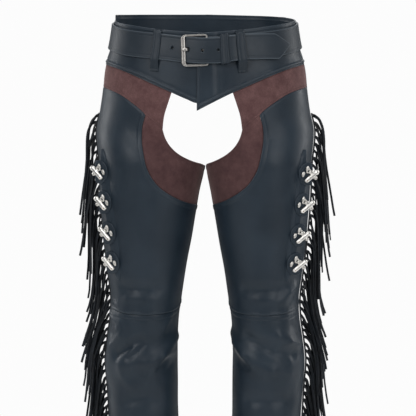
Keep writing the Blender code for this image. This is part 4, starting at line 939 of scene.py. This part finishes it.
def build_loops():
    face = LOW_RISE[1][1] + BELT_THICK + LOOP_GAP
    build_loop("belt_loop_front_right", float(quarter_at(np.array(FRONT_LOOPS_X[0]))), face)
    build_loop("belt_loop_front_left", float(quarter_at(np.array(FRONT_LOOPS_X[1]))),
               float(belt_top(FRONT_LOOPS_X[1] - LOOP_HALF)) + BELT_THICK / 2 + LOOP_GAP)
    for name, quarter in BACK_LOOPS:
        build_loop(name, quarter, face)


# Conchos

def flap_frame(leg, z):
    """The flap's bend, its direction away from the leg, its face's direction and its upward one."""
    z = np.asarray(z, float)
    start = surface(leg, curve(FLAP_BEND, z), z, LEATHER_RISE + FLAP_LIFT)
    angle = math.radians(FLAP_ANGLE)
    away = np.broadcast_to((leg * math.cos(angle), math.sin(angle), 0.0), start.shape)
    up = surface(leg, curve(FLAP_BEND, z + 5), z + 5) - surface(leg, curve(FLAP_BEND, z - 5), z - 5)
    face = unit(np.cross(away, up)) * leg
    return start, away, face, unit(np.cross(face, away)) * leg


def build_flap(leg, word):
    """The flap: its sewn edge runs out into the leg's leather, and its free one is cut back between the conchos."""
    count = 130
    t = np.linspace(0, 1, count)
    z = FLAP_ENDS[0] + (FLAP_ENDS[1] - FLAP_ENDS[0]) * t
    taper = 1 - 0.7 * (1 - np.minimum(1, 4 * np.minimum(t, 1 - t))) ** 2
    lobes = np.minimum(1, sum(np.exp(-(((z - c) / FLAP_LOBE) ** 2)) for c in CONCHO_HEIGHTS[leg]))
    reach = (FLAP_CUT_BACK + (FLAP_REACH - FLAP_CUT_BACK) * lobes) * taper
    ends = ramp(0, 0.05, np.minimum(t, 1 - t))
    start, away, face, _ = flap_frame(leg, z)
    bend = curve(FLAP_BEND, z)
    normal = outward(leg, bend, z)
    rows = []
    for s in np.linspace(0, 1, 9)[:-1]:
        turn = bend + FLAP_SEWN * taper * (1 - s)
        grow = s * s * (2 - s)
        rise = LEATHER_RISE + waves(leg, turn, z) * (1 - s) - 0.5 + (FLAP_LIFT + 0.5) * grow
        rows.append((surface(leg, turn, z, rise), unit(outward(leg, turn, z) * (1 - s) + (face + normal) * s),
                     0.25 + (FLAP_THICK - 0.25) * grow * ends))
    for s in np.linspace(0, 1, 13):
        turned = unit(unit(face + normal) * (1 - ramp(0, 0.35, s)) + face * ramp(0, 0.35, s))
        thin = 1.0 if s < 0.9 else (0.85 if s < 1 else 0.35)
        rows.append((start + away * (reach * s)[:, None], turned, FLAP_THICK * thin * (0.5 + 0.5 * ends)))
    top = np.stack([p + n * np.broadcast_to(thick, count)[:, None] for p, n, thick in rows], axis=1)
    low = np.stack([p + n * 0.05 for p, n, _ in rows], axis=1)
    points, faces = loft(np.concatenate([top, low[:, ::-1]], axis=1))
    obj = add_mesh("concho_flap_%s_cloth" % word, points, faces, "leather", uses=("concho_flap_" + word,),
                   attributes={"wear_and_highlight": np.zeros(len(points))})
    declare_sheet("concho_flap_" + word)


ROSETTE_SECTION = ((0.0, 1.5), (6.0, 1.5), (13.0, 1.5), (15.0, 1.45), (16.0, 1.15), (16.8, 0.8), (17.6, 1.05),
                   (18.5, 1.1), (19.3, 0.7), (19.8, 0.1), (20.0, -0.6), (19.6, -0.9), (12.0, -0.9), (0.0, -0.9))


def build_rosette(name, base, along_axis, up, face):
    size = 48
    angles = np.linspace(0, 2 * math.pi, size, endpoint=False)
    points, faces = [base + face * ROSETTE_SECTION[0][1]], []
    rings = ROSETTE_SECTION[1:-1]
    for radius, level in rings:
        wobble = radius * (1 + 0.006 * np.sin(5 * angles + len(name)))
        across, aside = wobble * np.cos(angles), wobble * np.sin(angles)
        across = np.where(across > ROSETTE_CUT[0], ROSETTE_CUT[0] + (across - ROSETTE_CUT[0]) * ROSETTE_CUT[1], across)
        points += [base + along_axis * a + up * b + face * level for a, b in zip(across, aside)]
    points.append(base + face * ROSETTE_SECTION[-1][1])
    for k in range(size):
        n = (k + 1) % size
        faces.append((0, 1 + k, 1 + n))
        for r in range(len(rings) - 1):
            a, b = 1 + r * size, 1 + (r + 1) * size
            faces.append((a + k, b + k, b + n, a + n))
        last = 1 + (len(rings) - 1) * size
        faces.append((last + k, len(points) - 1, last + n))
    add_mesh(name + "_disc", points, faces, "leather", uses=(name,),
             attributes={"wear_and_highlight": np.zeros(len(points))})


CONCHO_BAR = {-1: ((-9.2, 6.2), (5.2, -9.2)), 1: ((-12.6, 2.8), (4.4, -10.4))}     # its round head and its free end
BAR_R, BAR_HIGH, HEAD_R, HEAD_HIGH = 3.9, 4.0, 4.8, 4.4
CHASED = (                 # middle, half length, half width, direction in degrees, height
    ((-3.2, 3.2), 4.4, 4.2, 20, 2.9),
    ((3.2, 9.6), 5.2, 2.8, 102, 2.4),
    ((10.4, 0.4), 5.2, 2.8, 104, 2.4),
    ((-0.8, 7.4), 3.2, 1.7, 66, 2.4),
    ((2.8, 3.0), 3.4, 1.7, 20, 2.0),
)
SMALL_LOBE, SMALL_R = (1.6, -9.6), 3.7                   # from the round head
RIVET_R, CONCHO_STRETCH, CONCHO_CELL = 1.2, 1.2, 0.5


def concho_height(leg, a, b):
    """Height of the casting over its back, below zero outside it, with where it is chased and riveted."""
    head, end = (np.array(spot) for spot in CONCHO_BAR[leg])
    run = end - head
    t = np.clip(((a - head[0]) * run[0] + (b - head[1]) * run[1]) / (run @ run), 0, 1)
    off = ((a - head[0] - t * run[0]) ** 2 + (b - head[1] - t * run[1]) ** 2) / BAR_R**2
    from_head = ((a - head[0]) ** 2 + (b - head[1]) ** 2) / HEAD_R**2
    bright = np.maximum(BAR_HIGH * np.sqrt(np.clip(1 - off**1.4, 0, 1)), HEAD_HIGH * np.sqrt(np.clip(1 - from_head**1.3, 0, 1)))
    dull = np.zeros(a.shape)
    small = (head[0] + SMALL_LOBE[0], head[1] + SMALL_LOBE[1])
    for (x, y), long, wide, degrees, high in CHASED + ((small, SMALL_R, SMALL_R, 0, 2.8),):
        angle = math.radians(degrees)
        s = (a - x) * math.cos(angle) + (b - y) * math.sin(angle)
        q = (s / long) ** 2 + ((-(a - x) * math.sin(angle) + (b - y) * math.cos(angle)) / wide) ** 2
        dull = np.maximum(dull, high * np.sqrt(np.clip(1 - q**1.3, 0, 1)))
    rivet = np.exp(-((((a - end[0]) ** 2 + (b - end[1]) ** 2) / RIVET_R**2) ** 2))
    beads = 0.4 * np.sin(a * 2.6) * np.sin(b * 2.8)
    chased = (dull > bright) * 1.0
    total = np.maximum(bright - 1.4 * rivet * (bright > 1), dull + beads * (dull > 1.2))
    return np.where(total > 0, total, -1.0), rivet, chased


def build_concho(name, leg, base, along_axis, up, face):
    """A cast ornament as a height field on a fine grid, closed by a flat back."""
    span = np.arange(-18.5, 18.51, CONCHO_CELL)
    a, b = np.meshgrid(span, span, indexing="ij")
    height, rivet, chased = concho_height(leg, a, b)
    here = height > 0
    cells = here[:-1, :-1] & here[1:, :-1] & here[1:, 1:] & here[:-1, 1:]
    used = np.zeros(here.shape, bool)
    for di, dj in ((0, 0), (1, 0), (1, 1), (0, 1)):
        used[di:di + cells.shape[0], dj:dj + cells.shape[1]] |= cells
    index = np.full(here.shape, -1)
    index[used] = np.arange(used.sum())
    count = int(used.sum())
    flat = np.stack([a[used] * CONCHO_STRETCH, b[used]], axis=1)
    ground = base + flat[:, :1] * along_axis + flat[:, 1:] * up
    points = np.vstack([ground + face * (0.5 + height[used][:, None]), ground])
    faces = []
    for i, j in zip(*np.nonzero(cells)):
        quad = [index[i, j], index[i + 1, j], index[i + 1, j + 1], index[i, j + 1]]
        faces += [quad, [count + k for k in reversed(quad)]]
    top = np.array(faces[::2])
    edges = np.concatenate([top[:, [k, (k + 1) % 4]] for k in range(4)])
    _, first, counts = np.unique(np.sort(edges, axis=1), axis=0, return_index=True, return_counts=True)
    for p, q in edges[first[counts == 1]]:
        faces.append([q, p, p + count, q + count])
    recess = np.maximum(np.clip(1 - height[used], 0, 1), 0.62 * chased[used])
    both = np.concatenate([recess, np.ones(count)])
    brown = np.concatenate([rivet[used], np.zeros(count)])
    obj = add_mesh(name + "_casting", points, faces, "silver", smooth=70, uses=(name,),
                   attributes={"recess": both, "rivet": brown})
    soften = obj.modifiers.new("soften", "SMOOTH")
    soften.factor, soften.iterations = 0.5, 3


def build_conchos(leg, word):
    for number, z in enumerate(CONCHO_HEIGHTS[leg], start=1):
        start, away, face, up = flap_frame(leg, z)
        base = start + away * CONCHO_REACH + face * (FLAP_THICK + ROSETTE_GAP)
        build_rosette("rosette_%s_%d" % (word, number), base, away, up, face)
        build_concho("concho_%s_%d" % (word, number), leg, base + face * (ROSETTE_THICK + 0.1), -away, up, face)


# Fringe

def strip_middle(leg, z):
    z = np.asarray(z, float)
    return surface(leg, np.full(z.shape, STRIP_TURN), z, LEATHER_RISE + STRIP_GAP)


def build_fringe(leg, word):
    rng = np.random.default_rng(11 if leg > 0 else 23)
    z = np.linspace(STRIP_ENDS[0], STRIP_ENDS[1] - 2, 160)
    middle = strip_middle(leg, z)
    out, half = np.array((leg, 0.0, 0.0)), np.array((0.0, STRIP_WIDTH / 2, 0.0))
    section = ((0, -1), (0, 1), (0.6, 1.0), (1, 0.7), (1, -0.7), (0.6, -1.0))
    points, faces = loft(np.stack([middle + out * STRIP_DEPTH * o + half * h for o, h in section], axis=1))
    points, faces = list(points), list(faces)
    pitch = (STRIP_ENDS[0] - STRIP_ENDS[1]) / STRANDS
    for k in range(2 * STRANDS):
        index, second = k // 2, k % 2
        top = STRIP_ENDS[0] - pitch * (index + 0.16 * second) - 2.4
        slot = (index * FAN_STEP + 9 * second) % FAN_SLOTS
        angle = math.radians(FAN_FROM + FAN_OVER * slot / (FAN_SLOTS - 1))
        reach = STRAND_REACH * (0.86 + 0.24 * ((index * 5) % 7) / 6) * (0.82 if second else 1.0)
        drop = min(STRAND_LENGTH * (0.88 + 0.24 * ((index * 3) % 8) / 7), top + 2.6 - TIP_LOWEST_Z)
        steep = rng.uniform(0.7, 2.3)
        roots = [(r, d * (steep if d < 20 else 1.0) * min(1.0, drop / 120)) for r, d in STRAND_PATH]
        path = ((0.0, 0.0), *roots, (reach, drop))
        route = rounded_line(path, 6)
        t = np.linspace(0, 1, len(route))
        sway = rng.uniform(-2.2, 2.2) * np.sin(math.pi * t * rng.uniform(1.2, 2.2)) * t
        flick = rng.uniform(1.0, 13.0) * np.clip(t - 0.55, 0, 1) ** 2 * 5
        twist = rng.uniform(-0.9, 0.9) * ramp(0.15, 0.8, t)
        wide = STRAND_WIDE * rng.uniform(0.86, 1.08) * (1 - 0.12 * t) * (0.7 + 0.3 * ramp(0, 0.2, t))
        away = np.array((leg * math.cos(angle), math.sin(angle), 0.0))
        aside = np.array((-leg * math.sin(angle), math.cos(angle), 0.0))
        heights = top - route[:, 1]
        spine = strip_middle(leg, heights)
        spine[:, 2] = heights
        spine = spine + out * (STRIP_DEPTH - 0.8) + away * (route[:, 0] + flick)[:, None] + aside * sway[:, None]
        run = unit(np.gradient(spine, axis=0))
        lift = unit(np.cross(aside, run))
        thin = unit(np.cross(run, lift))
        broad = lift * np.cos(twist)[:, None] + thin * np.sin(twist)[:, None]
        slim = thin * np.cos(twist)[:, None] - lift * np.sin(twist)[:, None]
        ring = []
        for w, s in ((1, 0.55), (0.85, 1), (-0.85, 1), (-1, 0.55), (-1, -0.55), (-0.85, -1), (0.85, -1), (1, -0.55)):
            ring.append(spine + broad * (wide * w / 2)[:, None] + slim * STRAND_FLAT / 2 * s)
        more, strand = loft(np.stack(ring, axis=1))
        faces += [tuple(len(points) + c for c in face) for face in strand]
        points += list(more)
    add_mesh("fringe_%s_strands" % word, points, faces, "fringe", smooth=50, uses=("fringe_" + word,))


# Materials

def new_material(name):
    made = bpy.data.materials.new(name)
    made.use_nodes = True
    tree = made.node_tree
    return made, tree, tree.nodes["Principled BSDF"]


def node(tree, kind, **values):
    made = tree.nodes.new(kind)
    for key, value in values.items():
        if key in made.inputs:
            made.inputs[key].default_value = value
        else:
            setattr(made, key, value)
    return made


def noise(tree, coords, scale, detail=3.0, roughness=0.55):
    made = node(tree, "ShaderNodeTexNoise", Scale=scale, Detail=detail, Roughness=roughness)
    tree.links.new(coords, made.inputs["Vector"])
    return made.outputs["Fac"]


def mixed(tree, share, one, two):
    """A colour between two, or between two links."""
    made = tree.nodes.new("ShaderNodeMix")
    made.data_type = "RGBA"
    tree.links.new(share, made.inputs["Factor"])
    for socket, value in (("A", one), ("B", two)):
        target = [s for s in made.inputs if s.name == socket and s.type == "RGBA"][0]
        if isinstance(value, tuple):
            target.default_value = (*value, 1)
        else:
            tree.links.new(value, target)
    return [s for s in made.outputs if s.type == "RGBA"][0]


def mapped(tree, value, low, high, to_low, to_high):
    made = node(tree, "ShaderNodeMapRange")
    for key, number in (("From Min", low), ("From Max", high), ("To Min", to_low), ("To Max", to_high)):
        made.inputs[key].default_value = number
    tree.links.new(value, made.inputs["Value"])
    return made.outputs["Result"]


def summed(tree, *parts):
    """A weighted sum of heights."""
    total = None
    for value, weight in parts:
        times = node(tree, "ShaderNodeMath", operation="MULTIPLY")
        tree.links.new(value, times.inputs[0])
        times.inputs[1].default_value = weight
        if total is None:
            total = times.outputs[0]
            continue
        add = node(tree, "ShaderNodeMath", operation="ADD")
        tree.links.new(total, add.inputs[0])
        tree.links.new(times.outputs[0], add.inputs[1])
        total = add.outputs[0]
    return total


def bump(tree, shader, height, strength, distance):
    made = node(tree, "ShaderNodeBump", Strength=strength, Distance=distance)
    tree.links.new(height, made.inputs["Height"])
    tree.links.new(made.outputs["Normal"], shader.inputs["Normal"])


def attribute(tree, name):
    made = node(tree, "ShaderNodeAttribute", attribute_name=name)
    return made.outputs["Fac"]


def leather_material(name, dark, light, worn_and_highlit, rough_low, rough_high, grain=0.22):
    made, tree, shader = new_material(name)
    coords = tree.nodes.new("ShaderNodeTexCoord").outputs["Object"]
    cloud = mapped(tree, noise(tree, coords, 14.0, 4.0), 0.32, 0.68, 0, 1)
    colour = mixed(tree, cloud, dark, light)
    # lighter at seams, ridges and rims: partly wear, partly painted highlight
    colour = mixed(tree, mapped(tree, attribute(tree, "wear_and_highlight"), 0.2, 1.0, 0.0, 0.55), colour, worn_and_highlit)
    tree.links.new(colour, shader.inputs["Base Color"])
    rough = mapped(tree, noise(tree, coords, 45.0, 4.0), 0.3, 0.7, rough_low, rough_high)
    tree.links.new(rough, shader.inputs["Roughness"])
    cells = node(tree, "ShaderNodeTexVoronoi", Scale=760.0)
    cells.feature = "SMOOTH_F1"
    tree.links.new(coords, cells.inputs["Vector"])
    height = summed(tree, (cells.outputs["Distance"], 0.8), (noise(tree, coords, 1900.0, 2.0), 0.35),
                    (noise(tree, coords, 130.0, 3.0), 0.9))
    bump(tree, shader, height, grain, 0.0004)
    shader.inputs["Specular IOR Level"].default_value = 0.32
    shader.inputs["Sheen Weight"].default_value = 0.03
    shader.inputs["Sheen Roughness"].default_value = 0.45
    return made


def suede_material():
    made, tree, shader = new_material("suede")
    coords = tree.nodes.new("ShaderNodeTexCoord").outputs["Object"]
    patches = mapped(tree, noise(tree, coords, 55.0, 6.0, 0.7), 0.34, 0.66, 0, 1)
    nap = mapped(tree, noise(tree, coords, 420.0, 4.0, 0.75), 0.36, 0.64, 0, 1)
    hips = mixed(tree, patches, (0.098, 0.048, 0.049), (0.172, 0.092, 0.090))
    thighs = mixed(tree, patches, (0.058, 0.029, 0.031), (0.108, 0.057, 0.057))
    place = tree.nodes.new("ShaderNodeSeparateXYZ")
    tree.links.new(coords, place.inputs[0])
    colour = mixed(tree, mapped(tree, place.outputs["Z"], -0.115, -0.165, 0, 1), hips, thighs)
    colour = mixed(tree, mapped(tree, nap, 0, 1, 0, 0.5), colour, (0.078, 0.040, 0.039))
    tree.links.new(colour, shader.inputs["Base Color"])
    shader.inputs["Roughness"].default_value = 0.92
    shader.inputs["Specular IOR Level"].default_value = 0.15
    shader.inputs["Sheen Weight"].default_value = 0.35
    shader.inputs["Sheen Roughness"].default_value = 0.4
    shader.inputs["Sheen Tint"].default_value = (0.75, 0.55, 0.52, 1)
    height = summed(tree, (noise(tree, coords, 900.0, 4.0, 0.7), 1.0), (noise(tree, coords, 160.0, 3.0), 0.8))
    bump(tree, shader, height, 0.45, 0.0005)
    return made


def fringe_material():
    made, tree, shader = new_material("fringe")
    coords = tree.nodes.new("ShaderNodeTexCoord").outputs["Object"]
    share = mapped(tree, noise(tree, coords, 60.0, 4.0), 0.35, 0.65, 0, 1)
    tree.links.new(mixed(tree, share, (0.005, 0.007, 0.010), (0.011, 0.015, 0.021)), shader.inputs["Base Color"])
    rough = mapped(tree, noise(tree, coords, 240.0, 3.0), 0.3, 0.7, 0.5, 0.68)
    tree.links.new(rough, shader.inputs["Roughness"])
    shader.inputs["Specular IOR Level"].default_value = 0.35
    bump(tree, shader, noise(tree, coords, 1400.0, 3.0), 0.3, 0.0003)
    return made


def silver_material():
    made, tree, shader = new_material("silver")
    coords = tree.nodes.new("ShaderNodeTexCoord").outputs["Object"]
    tarnish = mapped(tree, noise(tree, coords, 420.0, 4.0), 0.4, 0.75, 0, 0.35)
    colour = mixed(tree, tarnish, (0.96, 0.94, 0.90), (0.60, 0.57, 0.52))
    colour = mixed(tree, mapped(tree, attribute(tree, "recess"), 0.4, 1.0, 0.0, 0.8), colour, (0.16, 0.14, 0.12))
    colour = mixed(tree, mapped(tree, attribute(tree, "rivet"), 0.2, 0.9, 0.0, 1.0), colour, (0.30, 0.16, 0.07))
    tree.links.new(colour, shader.inputs["Base Color"])
    shader.inputs["Metallic"].default_value = 1.0
    rough = mapped(tree, noise(tree, coords, 300.0, 3.0), 0.3, 0.7, 0.27, 0.42)
    tree.links.new(rough, shader.inputs["Roughness"])
    bump(tree, shader, noise(tree, coords, 700.0, 3.0), 0.25, 0.0004)
    return made


def buckle_material():
    made, tree, shader = new_material("buckle_metal")
    coords = tree.nodes.new("ShaderNodeTexCoord").outputs["Object"]
    stretch = node(tree, "ShaderNodeMapping")
    stretch.inputs["Scale"].default_value = (1.0, 1.0, 0.08)
    tree.links.new(coords, stretch.inputs["Vector"])
    brushed = noise(tree, stretch.outputs["Vector"], 2600.0, 3.0)
    share = mapped(tree, noise(tree, coords, 180.0, 3.0), 0.35, 0.65, 0, 1)
    colour = mixed(tree, share, (0.38, 0.365, 0.345), (0.50, 0.48, 0.455))
    colour = mixed(tree, mapped(tree, attribute(tree, "recess"), 0.1, 1.0, 0.0, 0.75), colour, (0.09, 0.085, 0.08))
    tree.links.new(colour, shader.inputs["Base Color"])
    shader.inputs["Metallic"].default_value = 1.0
    rough = mapped(tree, brushed, 0.3, 0.7, 0.30, 0.46)
    tree.links.new(rough, shader.inputs["Roughness"])
    bump(tree, shader, brushed, 0.12, 0.0002)
    return made


def thread_material(name, colour):
    made, tree, shader = new_material(name)
    coords = tree.nodes.new("ShaderNodeTexCoord").outputs["Object"]
    share = mapped(tree, noise(tree, coords, 900.0, 2.0), 0.35, 0.65, 0, 1)
    lighter = tuple(c * 1.5 for c in colour)
    tree.links.new(mixed(tree, share, colour, lighter), shader.inputs["Base Color"])
    shader.inputs["Roughness"].default_value = 0.6
    shader.inputs["Specular IOR Level"].default_value = 0.3
    bump(tree, shader, noise(tree, coords, 2500.0, 2.0), 0.3, 0.0002)
    return made


MATERIALS = {
    # third colours: the lighter tone for worn and painted-highlight places; the belt's is mostly painted highlight on
    # its edges
    "leather": leather_material("leather", (0.011, 0.020, 0.031), (0.019, 0.031, 0.045), (0.045, 0.060, 0.076), 0.38, 0.50),
    "leather_belt": leather_material("leather_belt", (0.011, 0.019, 0.028), (0.017, 0.026, 0.037),
                                     (0.10, 0.125, 0.15), 0.42, 0.52, grain=0.16),
    "suede": suede_material(),
    "fringe": fringe_material(),
    "silver": silver_material(),
    "buckle": buckle_material(),
    "thread": thread_material("thread", (0.018, 0.027, 0.038)),
    "suede_thread": thread_material("suede_thread", (0.060, 0.030, 0.028)),
}


# Light, floor and camera

def look_at(obj, target):
    direction = Vector(target) - obj.location
    obj.rotation_euler = direction.to_track_quat("-Z", "Y").to_euler()


def area_light(name, place, target, size, power, colour=(1, 1, 1)):
    data = bpy.data.lights.new(name, "AREA")
    data.shape, data.size, data.size_y, data.energy, data.color = "RECTANGLE", size[0], size[1], power, colour
    obj = bpy.data.objects.new(name, data)
    obj.location = place
    look_at(obj, target)
    bpy.context.scene.collection.objects.link(obj)


def build_studio():
    scene = bpy.context.scene
    world = bpy.data.worlds.new("studio")
    world.use_nodes = True
    tree = world.node_tree
    lit = tree.nodes["Background"]
    lit.inputs["Color"].default_value = (0.95, 0.97, 1.0, 1)
    lit.inputs["Strength"].default_value = 0.12
    seen = node(tree, "ShaderNodeBackground")
    seen.inputs["Color"].default_value = (0.975, 0.975, 0.975, 1)
    path = tree.nodes.new("ShaderNodeLightPath")
    choose = tree.nodes.new("ShaderNodeMixShader")
    tree.links.new(path.outputs["Is Camera Ray"], choose.inputs[0])
    tree.links.new(lit.outputs[0], choose.inputs[1])
    tree.links.new(seen.outputs[0], choose.inputs[2])
    tree.links.new(choose.outputs[0], tree.nodes["World Output"].inputs["Surface"])
    scene.world = world
    scene.view_settings.view_transform = "Standard"

    mesh = bpy.data.meshes.new("floor")
    size, back, low = 2.4, 1.3, -1.0
    mesh.from_pydata([(-size, -size, low), (size, -size, low), (size, back, low), (-size, back, low)], [], [(0, 1, 2, 3)])
    floor = bpy.data.objects.new("floor", mesh)
    made, tree, shader = new_material("floor")
    shader.inputs["Base Color"].default_value = (0.93, 0.93, 0.92, 1)
    shader.inputs["Roughness"].default_value = 0.8
    mesh.materials.append(made)
    scene.collection.objects.link(floor)

    middle = (0.0, 0.0, -0.35)
    area_light("key", (-1.5, -2.4, 1.1), middle, (1.3, 1.8), 36)
    area_light("fill", (1.7, -2.2, 0.6), middle, (1.3, 1.8), 25)
    area_light("top", (0.0, -0.4, 2.2), (0, 0, 0), (1.6, 1.2), 24)
    area_light("rim_right", (-2.0, 0.9, 0.3), middle, (0.7, 1.8), 17)
    area_light("rim_left", (2.0, 0.9, 0.3), middle, (0.7, 1.8), 17)
    area_light("behind", (0.0, 2.6, 0.8), middle, (2.2, 1.6), 20)

    data = bpy.data.cameras.new("camera")
    camera = bpy.data.objects.new("camera", data)
    azimuth, elevation, distance = math.radians(2.5), math.radians(5.0), 4.0
    target = Vector((0.005, 0.0, -0.275))
    camera.location = target + distance * Vector((math.sin(azimuth) * math.cos(elevation),
                                                  -math.cos(azimuth) * math.cos(elevation), math.sin(elevation)))
    look_at(camera, target)
    data.angle = math.radians(10.22)
    data.clip_start, data.clip_end = 0.1, 50
    scene.collection.objects.link(camera)
    scene.camera = camera


def main():
    build_studio()
    build_yoke()
    for leg, word in ((1, "left"), (-1, "right")):
        build_insets(leg, word)
        build_thigh(leg, word)
        build_shin(leg, word)
        build_flap(leg, word)
        build_conchos(leg, word)
        build_fringe(leg, word)
    build_belt()
    build_buckle()
    build_keeper()
    build_loops()
    for word in ("left", "right"):
        stitches("stitches_thigh_" + word, ["thigh_front_" + word, "thigh_back_" + word], "thread")
        stitches("stitches_shin_" + word, ["shin_front_" + word, "shin_back_" + word], "thread")
        stitches("stitches_suede_" + word, ["hip_inset_" + word, "thigh_inset_" + word], "suede_thread")
    stitches("stitches_yoke", ["yoke_front_left", "yoke_front_right", "yoke_back"], "thread")


main()
